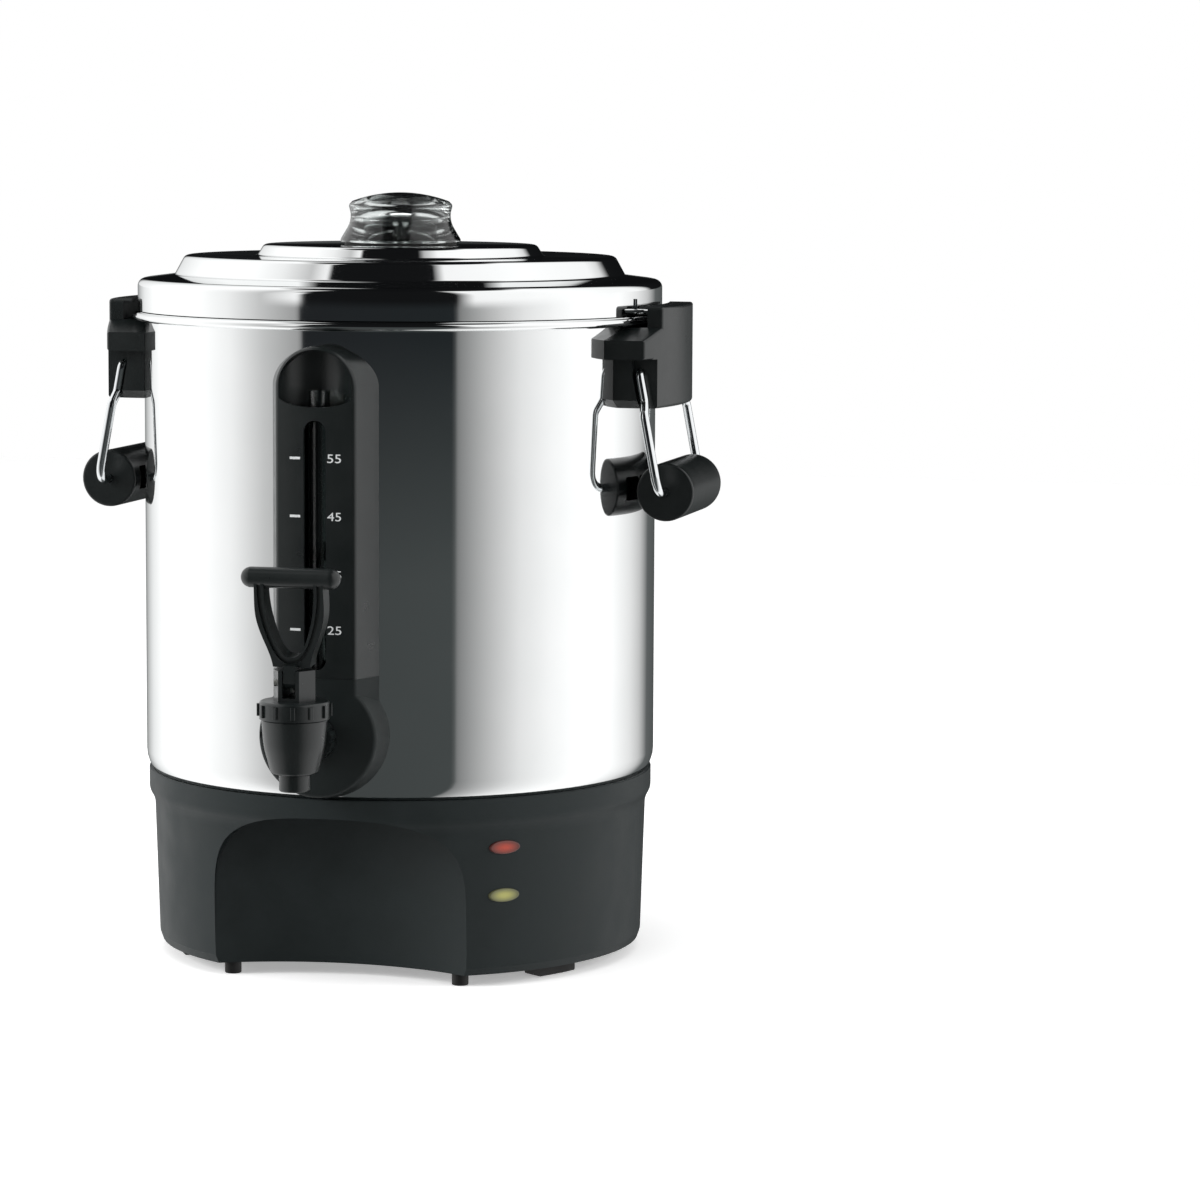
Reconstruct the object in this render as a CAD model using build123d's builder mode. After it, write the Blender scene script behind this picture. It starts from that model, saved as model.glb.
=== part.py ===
"""Coffee urn: a percolating drinks urn with a gauge, a tap, two bail handles and a lift-out brewing set.

Millimetres, +Z up. The origin is on the urn's axis, on the plane that its feet stand on.
The tap faces -Y and the two handles are at +X and -X.
"""

import os
from math import asin, atan2, cos, degrees, hypot, radians, sin, sqrt

from build123d import *

os.makedirs("parts", exist_ok=True)


def save(piece, label):
    """Give a finished piece its name and write it."""
    piece.part.label = label
    export_step(piece.part, f"parts/{label}.step")


# ---------------------------------------------------------------- clearances
seat_gap = 0.1          # between faces that are clamped or pressed together
run_gap = 0.05          # radial play of a pin that turns in its hole
free_gap = 0.3          # between pieces that move past each other

# ---------------------------------------------------------------- driving sizes
body_r = 130.0          # outer radius of the steel vessel
steel = 0.8             # sheet thickness of vessel and lid
lid_wall_r = body_r + 3.2
rim_z = 327.3           # crown of the vessel's rolled rim
floor_z = 88.0          # underside of the vessel's floor
floor_bend = 16.0       # bend radius between floor and wall
well_r = 24.0           # heating well in the middle of the floor
well_depth = 5.0
curl_w = 3.4            # half width of the rolled rim
curl_h = 2.4            # half height of the rolled rim

base_top_z = 94.5       # top edge of the plastic base
flange_r = body_r - 1.2  # collar of the base, round the vessel's foot
flange_h = 11.0
base_neck_r = flange_r - 2.8  # just under the collar
base_neck_z = 78.4
base_low_r = base_neck_r - 2.2  # above the bottom edge
base_low_z = 10.0
base_foot_r = base_low_r - 1.3  # at the bottom edge
stand_h = 6.2           # height of the feet under the base
base_wall = 2.5
shelf_h = 9.0           # ring that carries the vessel
shelf_r = body_r - 26.0
foot_blend, neck_blend, flange_blend = 2.0, 11.0, 7.0  # radii that soften the wall outside

recess_r = 136.0        # hollow for the cup, seen from above
recess_depth_r = body_r - 40.7  # distance from the axis to the deepest line of the hollow
recess_half = 65.0      # half width of the hollow at its foot
recess_top_z = 85.0
# the hollow's edge from its foot to its crown: share of the half width, share of the height
recess_edge = [(0.997, 0.38), (0.99, 0.6), (0.945, 0.745), (0.862, 0.84), (0.742, 0.905),
               (0.555, 0.96), (0.235, 0.995), (0, 1)]

tap_z = 127.0           # height of the tap's shank
cover_r = body_r + 15.4  # front face of the gauge cover
tap_reach = cover_r + 32.2  # distance from the urn's axis to the tap's
cover_wall = 2.2
cover_half = 19.9       # half width of the cover at its front edge
cover_foot_half = 26.8  # half width of the cover where it meets the vessel
cover_top_z = 315.7
cover_round = 2.4       # softened front edges
boss_round = 2.0
cover_split_z = 156.0   # joint between gauge cover and tap boss
cover_arch = 19.9
boss_r = 29.1           # round boss round the shank, front edge
boss_foot_r = 31.2
pocket_r = 19.6         # scoop at the top of the cover
pocket_y = cover_r + 5.6
pocket_floor_z = 284.0
lip_z = 286.6          # middle of the scoop's curved lip
lip_rise = 6.0
window_w = 11.1
window_top_z = 280.4
window_low_z = 160.0
tube_r = 5.25
tube_bore = 4.1
tube_y = cover_r - 7.9
tube_low_z = 140.0
tube_top_z = 294.5

shank_r = 8.0
shank_bore = 5.0
shank_end_y = body_r - 13.0
collar_r = 10.6         # ring between boss and tap

bracket_r = body_r + 18.8  # outer face of the handle bracket
bracket_low_z = 282.4
band_low_z = 306.8
band_top_z = 316.3
cheek_z = 322.0
bracket_top_z = 332.5
bracket_half = 44.1     # half widths of the bracket's lower block, band and head
band_half = 51.4
head_half = 34.0
head_wall = 7.5         # outer wall of the head, outside the lid
roof_h = 1.3
roof_r = lid_wall_r + 3.8  # inner edge of the roof that the lid's lugs turn under
notch_half = 2.6        # slot that a lug drops through
lug_across = 30.0       # distance of the slot from the middle of the bracket
bracket_corner = 4.0
bracket_round = 2.0
bracket_soft = 1.5      # softened outer edges
wire_r = 2.25
pivot_r = body_r + 5.0  # distance from the urn's axis to the handle's pivot
pivot_z = 300.0
grip_axis_r = pivot_r + 11.2  # where the grip hangs
grip_axis_z = 240.4
grip_r = 14.5
grip_half = 32.5
arm_in_half = 42.0      # half widths of the wire beside the bracket and below it
arm_half = 47.5
jog_start = 14.5        # the jog of the wire, below the pivot
jog_end = 21.0
stub_half = 34.0

tier3_z = 343.2
tier2_z = 355.3
tier1_z = 360.9
tier3_in_r = lid_wall_r - 18.7
tier3_in_z = 345.6
tier2_r = tier3_in_r - 5.3
tier2_in_r = tier2_r - 36.5
tier1_r = tier2_in_r - 3.5
skirt_low_z = 306.0
lug_r = 1.2
lug_z = 329.8
lug_end_r = roof_r + 3.6
lug_t = 1.0
lug_tab_w = 1.0
lug_top_z = 336.0

knob_base_z = 361.9
knob_base_r = 30.5
knob_waist_r = 24.3
knob_rim_r = 26.5
knob_top_z = 387.1
knob_neck_r = 22.8
knob_hole_r = knob_neck_r + 0.5
knob_bore = 19.6

basket_top_z = 338.5
basket_r = body_r - 3.3
basket_low_r = basket_r - 14.7
basket_upper_h = 38.0
basket_lower_h = 38.0
basket_wall = 1.0
hub_r = 8.15
hub_h = 43.0
hub_flange_r = 12.0
stem_r = 4.0
stem_bore = 3.2
stem_top_z = 370.0

lens_angle = 40.3       # lamps, measured round from the tap
red_lens_z = 69.6
yellow_lens_z = 45.7
lens_half_w = 8.3
lens_half_h = 3.45

base_z = stand_h
floor_in_z = floor_z + steel
well_z = floor_z - well_depth
inner_r = body_r - steel


def around(radius, angle):
    """A point on a circle round the urn's axis, its angle counted from the tap towards +X."""
    return (radius * sin(radians(angle)), -radius * cos(radians(angle)))


def outward(angle, radius, height):
    """A plane at a radius, facing away from the urn's axis, with its local Y pointing up."""
    x, y = around(radius, angle)
    return Plane(origin=(x, y, height), x_dir=(cos(radians(angle)), sin(radians(angle)), 0),
                 z_dir=(sin(radians(angle)), -cos(radians(angle)), 0))


# ================================================================ vessel
# Deep-drawn stainless steel pot: floor with a heating well, wall and a rolled rim.
curl_r = body_r - steel + curl_w
curl_z = rim_z - curl_h
screw_z = 292.0         # screws of the handle brackets
screw_half = 17.0
screw_r = 2.0
well_lip = 3.0

with BuildPart() as vessel:
    with BuildSketch(Plane.XZ):
        with BuildLine():
            FilletPolyline(
                (0, well_z), (well_r, well_z), (well_r + well_lip, floor_z),
                (body_r, floor_z), (body_r, curl_z),
                radius=[2.0, 2.0, floor_bend],
            )
            offset(amount=steel, side=Side.LEFT)
        make_face()
        with Locations((curl_r, curl_z)):
            Ellipse(curl_w, curl_h)
            Ellipse(curl_w - steel, curl_h - steel, mode=Mode.SUBTRACT)
    revolve(axis=Axis.Z)
    with BuildSketch(Plane.XZ.offset(body_r + steel)):
        with Locations((0, tap_z)):
            Circle(shank_r + free_gap)
    extrude(amount=-body_r / 2, mode=Mode.SUBTRACT)
    with BuildSketch(Plane.YZ.offset(-body_r - steel)):
        with Locations((-screw_half, screw_z), (screw_half, screw_z)):
            Circle(screw_r + seat_gap)
    extrude(amount=2 * (body_r + steel), mode=Mode.SUBTRACT)
save(vessel, "vessel")

# ================================================================ base housing
# Moulded plastic skirt with a collar round the vessel's foot, a ring that carries the vessel,
# a hollow for the cup under the tap, screw posts and a flat boss for the power inlet.
recess_y = -recess_depth_r - recess_r
inlet_z = 38.0
inlet_boss_w, inlet_boss_h, inlet_boss_y = 58.0, 34.0, base_low_r + 3.2
inlet_w, inlet_h = 27.0, 19.5
post_r = 4.5
post_ring_r = shelf_r + 2.0
post_angles = (-85, 85, -150, 150)
screw_bore = 1.5
plate_t = 2.5


def base_section(inset, low_z):
    """Half section of the base, drawn inwards by a wall thickness, from its axis out."""
    with BuildSketch() as section:
        with BuildLine():
            wall = FilletPolyline(
                (base_foot_r - inset, low_z), (base_low_r - inset, base_low_z),
                (base_neck_r - inset, base_neck_z), (flange_r - inset, base_top_z - flange_h),
                (flange_r - inset, base_top_z),
                radius=[foot_blend, neck_blend, flange_blend],
            )
            Polyline(wall @ 1, (0, base_top_z), (0, low_z), wall @ 0)
        make_face()
    return section.sketch


def lens_face_r(height):
    """Radius of the base's sloping wall where a lamp sits."""
    return base_low_r + (height - base_low_z) * (base_neck_r - base_low_r) / (base_neck_z - base_low_z)


def cup_hollow(extra):
    """The hollow under the tap: a rounded arch seen from the front, an arc seen from above."""
    with BuildPart() as hollow:
        half = recess_half + extra
        top_z = recess_top_z + extra
        edge = [(x * half, z * top_z) for x, z in recess_edge]
        with BuildSketch(Plane.XZ.offset(recess_depth_r - 2 * extra)):
            with BuildLine():
                Spline(*edge, *[(-x, z) for x, z in edge[-2::-1]])
                Polyline(edge[0], (half, -top_z), (-half, -top_z), (-edge[0][0], edge[0][1]))
            make_face()
        extrude(amount=recess_half)
        with BuildSketch(Plane.XY.offset(-recess_top_z)):
            with Locations((0, recess_y)):
                Circle(recess_r + extra)
        extrude(amount=3 * recess_top_z, mode=Mode.INTERSECT)
    return hollow.part


outer_hollow = cup_hollow(0)
inner_hollow = cup_hollow(base_wall)

with BuildPart() as base_void:
    with BuildSketch(Plane.XZ):
        add(base_section(base_wall, base_z - 1))
    revolve(axis=Axis.Z)
    with BuildSketch(Plane.XY.offset(base_top_z - shelf_h)):
        Circle(2 * body_r)
        Circle(shelf_r, mode=Mode.SUBTRACT)
    extrude(amount=2 * shelf_h, mode=Mode.SUBTRACT)
    add(inner_hollow, mode=Mode.SUBTRACT)

with BuildPart() as base_housing:
    with BuildSketch(Plane.XZ):
        add(base_section(0, base_z))
    revolve(axis=Axis.Z)
    with BuildSketch(Plane.XZ.offset(-inlet_boss_y)):
        with Locations((0, inlet_z)):
            RectangleRounded(inlet_boss_w, inlet_boss_h, 4)
    extrude(amount=inlet_boss_y - base_low_r + base_wall)
    add(outer_hollow, mode=Mode.SUBTRACT)
    add(base_void.part, mode=Mode.SUBTRACT)
    with BuildSketch(Plane.XY.offset(base_z + plate_t)):
        with Locations([around(post_ring_r, a) for a in post_angles]):
            Circle(post_r)
            Circle(screw_bore, mode=Mode.SUBTRACT)
    extrude(amount=base_top_z - shelf_h - base_z - plate_t)
    with BuildSketch(Plane.XZ):
        with BuildLine():
            FilletPolyline(
                (0, floor_z - seat_gap), (body_r + seat_gap, floor_z - seat_gap),
                (body_r + seat_gap, rim_z), radius=floor_bend,
            )
            Polyline((body_r + seat_gap, rim_z), (0, rim_z), (0, floor_z - seat_gap))
        make_face()
    revolve(axis=Axis.Z, mode=Mode.SUBTRACT)
    for lens_z in (red_lens_z, yellow_lens_z):
        with BuildSketch(outward(lens_angle, lens_face_r(lens_z) - 4 * base_wall, lens_z)):
            Ellipse(lens_half_w + seat_gap, lens_half_h + seat_gap)
        extrude(amount=8 * base_wall, mode=Mode.SUBTRACT)
    with BuildSketch(Plane.XZ.offset(-inlet_boss_y)):
        with Locations((0, inlet_z)):
            RectangleRounded(inlet_w + 2 * seat_gap, inlet_h + 2 * seat_gap, 3)
    extrude(amount=inlet_boss_h, mode=Mode.SUBTRACT)
    fillet(
        base_housing.edges().filter_by(GeomType.CIRCLE).filter_by(
            lambda e: abs(e.radius - flange_r) < 0.01 and abs(e.center().Z - base_top_z) < 0.01
        ),
        0.5,
    )
save(base_housing, "base_housing")

# ================================================================ base plate, feet and screws
plate_gap = 0.3
pad_r = base_foot_r - 8.4  # outer edge of the long feet
pad_w = 12.0
pad_half_angle = 6.3
pad_angles = (-64, 60, 177)
peg_r = 4.15
peg_ring_r = base_foot_r - 9.9
peg_angles = (-31.5, 31.5)
head_r = 3.4
head_h = 2.0
vent_r = 2.5
vent_l, vent_ring_mid, vent_count = 22.0, 60.0, 24

with BuildPart() as base_plate:
    with BuildSketch(Plane.XY.offset(base_z)):
        Circle(base_foot_r - base_wall - plate_gap)
        with Locations((0, recess_y)):
            Circle(recess_r + base_wall + plate_gap, mode=Mode.SUBTRACT)
        with PolarLocations(vent_ring_mid, vent_count):
            SlotOverall(vent_l, 2 * vent_r, mode=Mode.SUBTRACT)
        with Locations([around(post_ring_r, a) for a in post_angles]):
            Circle(screw_bore + run_gap, mode=Mode.SUBTRACT)
    extrude(amount=plate_t)
save(base_plate, "base_plate")

with BuildPart() as pad_feet:
    for angle in pad_angles:
        with BuildSketch(Plane.XY):
            with BuildLine():
                middle = angle - 90
                outer = CenterArc((0, 0), pad_r, middle - pad_half_angle, 2 * pad_half_angle)
                inner = CenterArc((0, 0), pad_r - pad_w, middle - pad_half_angle, 2 * pad_half_angle)
                Line(outer @ 0, inner @ 0)
                Line(outer @ 1, inner @ 1)
            make_face()
        extrude(amount=stand_h)
    fillet(pad_feet.faces().filter_by(Axis.Z).group_by(Axis.Z)[0].edges(), 0.8)
save(pad_feet, "pad_feet")

with BuildPart() as peg_feet:
    with BuildSketch(Plane.XY):
        with Locations([around(peg_ring_r, a) for a in peg_angles]):
            Circle(peg_r)
    extrude(amount=stand_h)
    fillet(peg_feet.edges().group_by(Axis.Z)[0], 0.6)
save(peg_feet, "peg_feet")

with BuildPart() as base_screws:
    with BuildSketch(Plane.XY.offset(base_z - head_h)):
        with Locations([around(post_ring_r, a) for a in post_angles]):
            Circle(head_r)
    extrude(amount=head_h)
    with BuildSketch(Plane.XY.offset(base_z)):
        with Locations([around(post_ring_r, a) for a in post_angles]):
            Circle(screw_bore - run_gap)
    extrude(amount=16)
save(base_screws, "base_screws")

# ================================================================ heater
# An aluminium plate clamped under the vessel's floor, with a sheathed element brazed under it.
plate_in_r = well_r + 6.0
plate_out_r = 60.0
heater_t = 4.0
sheath_r = 4.0
sheath_ring_r = 45.0
terminal_r = 2.0
terminal_drop = 20.0
clamp_w, clamp_t = 12.0, 2.0
sheath_z = floor_z - heater_t - sheath_r
clamp_z = sheath_z - sheath_r - clamp_t
bolt_r = 2.5

with BuildPart() as heater_plate:
    with BuildSketch(Plane.XY.offset(floor_z - heater_t)):
        Circle(plate_out_r)
        Circle(plate_in_r, mode=Mode.SUBTRACT)
    extrude(amount=heater_t)
save(heater_plate, "heater_plate")

with BuildPart() as heating_element:
    with BuildLine(Plane.XY.offset(sheath_z)):
        ring = CenterArc((0, 0), sheath_ring_r, 110, 320)
    with BuildSketch(Plane(origin=ring @ 0, z_dir=ring % 0)):
        Circle(sheath_r)
    sweep(path=ring)
    for end in (0, 1):
        tip = ring @ end
        with BuildSketch(Plane.XY.offset(sheath_z - terminal_drop)):
            with Locations((tip.X, tip.Y)):
                Circle(terminal_r)
        extrude(amount=terminal_drop)
save(heating_element, "heating_element")

with BuildPart() as heater_clamp:
    with BuildSketch(Plane.XY.offset(clamp_z)):
        SlotOverall(2 * (sheath_ring_r + sheath_r), clamp_w)
        Circle(bolt_r + seat_gap, mode=Mode.SUBTRACT)
    extrude(amount=clamp_t)
save(heater_clamp, "heater_clamp")

nut_h = 4.0
with BuildPart() as heater_bolt:
    with BuildSketch(Plane.XY.offset(clamp_z - 2 * nut_h)):
        Circle(bolt_r)
    extrude(amount=well_z - clamp_z + 2 * nut_h)
save(heater_bolt, "heater_bolt")

nut_r = 5.0
with BuildPart() as heater_nut:
    with BuildSketch(Plane.XY.offset(clamp_z - nut_h)):
        RegularPolygon(nut_r, 6)
        Circle(bolt_r + run_gap, mode=Mode.SUBTRACT)
    extrude(amount=nut_h)
save(heater_nut, "heater_nut")

# ================================================================ thermostats and fuse
can_r, can_h, can_base_r, can_base_h = 8.0, 6.0, 10.0, 3.0
tab_t, tab_w, tab_half = 0.8, 6.0, 4.0  # the two terminals
sensor_ring_r = plate_out_r + 22.0
for sensor, sensor_angle in (("boil_thermostat", 125), ("warm_thermostat", -125)):
    with BuildPart() as thermostat:
        with BuildSketch(Plane.XY.offset(floor_z - can_base_h)):
            with Locations(around(sensor_ring_r, sensor_angle)):
                Circle(can_base_r)
        extrude(amount=can_base_h)
        with BuildSketch(Plane.XY.offset(floor_z - can_base_h - can_h)):
            with Locations(around(sensor_ring_r, sensor_angle)):
                Circle(can_r)
                with Locations((-tab_half, 0), (tab_half, 0)):
                    Rectangle(tab_t, tab_w)
        extrude(amount=can_h)
        with BuildSketch(Plane.XY.offset(floor_z - can_base_h - 2 * can_h)):
            with Locations(around(sensor_ring_r, sensor_angle)):
                with Locations((-tab_half, 0), (tab_half, 0)):
                    Rectangle(tab_t, tab_w)
        extrude(amount=can_h)
    save(thermostat, sensor)

fuse_r, fuse_l = 2.2, 14.0
with BuildPart() as thermal_fuse:
    with BuildSketch(Plane.YZ.offset(-fuse_l / 2)):
        with Locations((sensor_ring_r, floor_z - fuse_r)):
            Circle(fuse_r)
    extrude(amount=fuse_l)
save(thermal_fuse, "thermal_fuse")

# ================================================================ power inlet, at the back
flange_w, flange_hh, inlet_flange_t = 50.0, 24.0, 2.5
inlet_depth = 24.0
socket_w, socket_h, socket_depth = 24.0, 16.5, 16.0
inlet_pin_w, inlet_pin_h, inlet_pin_l = 4.0, 2.0, 13.0
inlet_screw_half = 20.0
inlet_head_r, inlet_head_h = 3.0, 1.6
line_pin_half, line_pin_drop, earth_pin_rise = 7.0, 2.0, 2.5

with BuildPart() as power_inlet:
    with BuildSketch(Plane.XZ.offset(-inlet_boss_y - inlet_flange_t)):
        with Locations((0, inlet_z)):
            RectangleRounded(flange_w, flange_hh, 6)
    extrude(amount=inlet_flange_t)
    with BuildSketch(Plane.XZ.offset(-inlet_boss_y)):
        with Locations((0, inlet_z)):
            RectangleRounded(inlet_w, inlet_h, 3)
    extrude(amount=inlet_depth)
    with BuildSketch(Plane.XZ.offset(-inlet_boss_y - inlet_flange_t)):
        with Locations((0, inlet_z)):
            RectangleRounded(socket_w, socket_h, 2)
    extrude(amount=socket_depth, mode=Mode.SUBTRACT)
    with BuildSketch(Plane.XZ.offset(-inlet_boss_y - inlet_flange_t)):
        with Locations((-inlet_screw_half, inlet_z), (inlet_screw_half, inlet_z)):
            Circle(screw_bore + run_gap)
    extrude(amount=inlet_flange_t, mode=Mode.SUBTRACT)
save(power_inlet, "power_inlet")

with BuildPart() as inlet_pins:
    pin_back_y = inlet_boss_y + inlet_flange_t - socket_depth
    with BuildSketch(Plane.XZ.offset(-pin_back_y - inlet_pin_l)):
        with Locations(
            (-line_pin_half, inlet_z - line_pin_drop), (line_pin_half, inlet_z - line_pin_drop),
            (0, inlet_z + earth_pin_rise),
        ):
            Rectangle(inlet_pin_h, inlet_pin_w)
    extrude(amount=inlet_pin_l)
save(inlet_pins, "inlet_pins")

with BuildPart() as inlet_screws:
    with BuildSketch(Plane.XZ.offset(-inlet_boss_y - inlet_flange_t - inlet_head_h)):
        with Locations((-inlet_screw_half, inlet_z), (inlet_screw_half, inlet_z)):
            Circle(inlet_head_r)
    extrude(amount=inlet_head_h)
    with BuildSketch(Plane.XZ.offset(-inlet_boss_y - inlet_flange_t)):
        with Locations((-inlet_screw_half, inlet_z), (inlet_screw_half, inlet_z)):
            Circle(screw_bore)
    extrude(amount=inlet_flange_t)
save(inlet_screws, "inlet_screws")

# ================================================================ indicator lamps
lens_rise = 0.9
lens_sunk = base_wall + 1.5
lamp_r, lamp_l = 3.2, 20.0
for lens_name, lens_z in (("heating_lens", red_lens_z), ("warm_lens", yellow_lens_z)):
    with BuildPart() as lens:
        with BuildSketch(outward(lens_angle, lens_face_r(lens_z) - lens_sunk, lens_z)):
            Ellipse(lens_half_w, lens_half_h)
        extrude(amount=lens_sunk + lens_rise)
        fillet(lens.edges().sort_by(Axis((0, 0, 0), (sin(radians(lens_angle)),
                                                     -cos(radians(lens_angle)), 0)))[-1], 0.8)
    save(lens, lens_name)

with BuildPart() as lamp_bodies:
    for lens_z in (red_lens_z, yellow_lens_z):
        with BuildSketch(outward(lens_angle, lens_face_r(lens_z) - lens_sunk - lamp_l, lens_z)):
            Circle(lamp_r)
        extrude(amount=lamp_l)
save(lamp_bodies, "lamp_bodies")

# ================================================================ gauge cover and tap boss
# Two moulded covers one above the other: the column with the window and the scoop at its top,
# and below it the round boss that the tap's shank comes out of.
flare = (cover_foot_half - cover_half) / (
    sqrt(cover_r**2 - cover_half**2) - sqrt(body_r**2 - cover_foot_half**2)
)
cover_front_y = cover_r + 1.0
cover_back_y = sqrt(body_r**2 - cover_foot_half**2) - 3.0
cover_edge_y = sqrt(cover_r**2 - cover_half**2)


def arch(half, low_z, top_z, rise):
    """Outline with straight sides and an arched top."""
    with BuildSketch() as outline:
        with BuildLine():
            Polyline((-half, top_z - rise), (-half, low_z), (half, low_z), (half, top_z - rise))
            EllipticalCenterArc((0, top_z - rise), half, rise, arc_size=180)
        make_face()
    return outline.sketch


def on_front(radius):
    """A test for edges that lie on an outer face round the urn's axis."""
    return lambda edge: all(
        abs(hypot((edge @ t).X, (edge @ t).Y) - radius) < 0.01 for t in (0, 0.5, 1)
    )


def cover_column(low_z, cut_z, top_z, inset, front_r):
    """The flared column, from the vessel's wall to a front face round the urn's axis."""
    with BuildPart() as column:
        for y in (cover_back_y, cover_front_y):
            half = cover_half + (cover_edge_y - y) * flare - inset
            with BuildSketch(Plane.XZ.offset(y)):
                add(arch(half, low_z, top_z, cover_arch))
        loft(ruled=True)
        with BuildSketch(Plane.XY.offset(low_z)):
            Circle(front_r)
            Circle(body_r + seat_gap, mode=Mode.SUBTRACT)
        extrude(amount=cut_z - low_z, mode=Mode.INTERSECT)
        if not inset:
            front = column.edges().filter_by(on_front(front_r))
            fillet(front.filter_by(lambda e: abs((e @ 0.5).Z - (e @ 0).Z) > 1.0), cover_round)
    return column.part


def boss_disc(inset, front_r):
    """The round boss, flaring a little towards the vessel."""
    with BuildPart() as disc:
        slope = (boss_foot_r - boss_r) / (cover_r - body_r)
        for y in (cover_back_y, cover_front_y):
            with BuildSketch(Plane.XZ.offset(y)):
                with Locations((0, tap_z)):
                    Circle(boss_r + (cover_r - y) * slope - inset)
        loft(ruled=True)
        with BuildSketch(Plane.XY.offset(tap_z - 2 * boss_r)):
            Circle(front_r)
            Circle(body_r + seat_gap, mode=Mode.SUBTRACT)
        extrude(amount=cover_split_z - tap_z + 2 * boss_r, mode=Mode.INTERSECT)
        if not inset:
            fillet(disc.edges().filter_by(on_front(front_r)), boss_round)
    return disc.part


rim_w = 1.5
inside_r = cover_r - cover_wall
ceiling_z = pocket_floor_z - cover_wall
cover_outside = cover_column(cover_split_z + seat_gap, cover_top_z, cover_top_z, 0, cover_r)
cover_inside = cover_column(
    cover_split_z - 1, ceiling_z, ceiling_z + 2 * cover_arch, cover_wall, inside_r
)



def mouth(half, low_z, top_z, rise):
    """Outline of the scoop from the front: an arch above and a shallow curve below."""
    with BuildSketch() as outline:
        with BuildLine():
            Line((-half, top_z - rise), (-half, low_z + lip_rise))
            EllipticalCenterArc(
                (0, low_z + lip_rise), half, lip_rise, start_angle=180, arc_size=180
            )
            Line((half, low_z + lip_rise), (half, top_z - rise))
            EllipticalCenterArc((0, top_z - rise), half, rise, arc_size=180)
        make_face()
    return outline.sketch


mouth_half = cover_half - rim_w + 0.6
with BuildPart() as scoop:
    with BuildSketch(Plane.XZ.offset(cover_back_y)):
        add(mouth(mouth_half, pocket_floor_z, cover_top_z - rim_w, cover_arch - rim_w / 2))
    extrude(amount=cover_r - cover_wall - cover_back_y)
    with BuildSketch(Plane.XZ.offset(cover_back_y)):
        add(mouth(mouth_half, lip_z, cover_top_z - rim_w, cover_arch - rim_w / 2))
    extrude(amount=cover_r)
    with BuildSketch(Plane.XY.offset(pocket_floor_z)):
        with Locations((0, -pocket_y)):
            Circle(pocket_r)
    extrude(amount=cover_top_z, mode=Mode.INTERSECT)

with BuildPart() as gauge_cover:
    add(cover_outside)
    add(cover_inside, mode=Mode.SUBTRACT)
    add(scoop.part, mode=Mode.SUBTRACT)
    with BuildSketch(Plane.XZ.offset(cover_r - 2 * cover_wall)):
        with Locations((0, (window_top_z + window_low_z) / 2)):
            SlotOverall(window_top_z - window_low_z, window_w, rotation=90)
    extrude(amount=cover_wall * 4, mode=Mode.SUBTRACT)
    with BuildSketch(Plane.XY.offset(window_low_z)):
        with Locations((0, -tube_y)):
            Circle(tube_r + seat_gap)
    extrude(amount=cover_top_z - window_low_z - cover_arch, mode=Mode.SUBTRACT)
save(gauge_cover, "gauge_cover")

boss_outside = boss_disc(0, cover_r)
boss_inside = boss_disc(cover_wall, inside_r)
root_top_z = cover_split_z + 2 * cover_arch
root_outside = cover_column(tap_z, cover_split_z, root_top_z, 0, cover_r)
root_inside = cover_column(tap_z, cover_split_z + 1, root_top_z, cover_wall, inside_r)

with BuildPart() as tap_boss:
    add(root_outside)
    add(boss_outside)
    add(root_inside, mode=Mode.SUBTRACT)
    add(boss_inside, mode=Mode.SUBTRACT)
    with BuildSketch(Plane.XZ.offset(body_r)):
        with Locations((0, tap_z)):
            Circle(shank_r + seat_gap)
    extrude(amount=2 * (cover_r - body_r), mode=Mode.SUBTRACT)
save(tap_boss, "tap_boss")

# ================================================================ sight tube and its tee
tee_half = 9.0
tee_front_y = tube_y + tube_r - seat_gap - 0.25
tee_back_y = body_r + 0.9
tee_low_z = 115.0
tee_top_z = 151.0
channel_r = 3.0

with BuildPart() as gauge_tube:
    with BuildSketch(Plane.XY.offset(tube_low_z)):
        with Locations((0, -tube_y)):
            Circle(tube_r)
            Circle(tube_bore, mode=Mode.SUBTRACT)
    extrude(amount=tube_top_z - tube_low_z)
save(gauge_tube, "gauge_tube")

seal_h = 3.0
with BuildPart() as gauge_tee:
    with BuildSketch(Plane.XY.offset(tee_low_z)):
        with Locations((0, -(tee_front_y + tee_back_y) / 2)):
            RectangleRounded(2 * tee_half, tee_front_y - tee_back_y, 3)
    extrude(amount=tee_top_z - tee_low_z)
    with BuildSketch(Plane.XY.offset(tap_z)):
        with Locations((0, -tube_y)):
            Circle(channel_r)
    extrude(amount=tee_top_z - tap_z, mode=Mode.SUBTRACT)
    with BuildSketch(Plane.XY.offset(tube_low_z - seal_h)):
        with Locations((0, -tube_y)):
            Circle(tube_r + seat_gap)
    extrude(amount=tee_top_z - tube_low_z + seal_h, mode=Mode.SUBTRACT)
    with BuildSketch(Plane.XZ.offset(tee_back_y)):
        with Locations((0, tap_z)):
            Circle(shank_r + seat_gap)
    extrude(amount=tee_front_y - tee_back_y, mode=Mode.SUBTRACT)
save(gauge_tee, "gauge_tee")

with BuildPart() as tube_seal:
    with BuildSketch(Plane.XY.offset(tube_low_z - seal_h)):
        with Locations((0, -tube_y)):
            Circle(tube_r)
            Circle(tube_bore, mode=Mode.SUBTRACT)
    extrude(amount=seal_h)
save(tube_seal, "tube_seal")

# ================================================================ tap: washers, ring and nut
washer_r = 13.0
washer_out_t = tee_back_y - body_r - seat_gap
washer_in_y = sqrt(inner_r**2 - washer_r**2) - seat_gap
washer_in_t = 2.0
shank_nut_h = 6.0
shank_nut_r = 13.5

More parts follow.
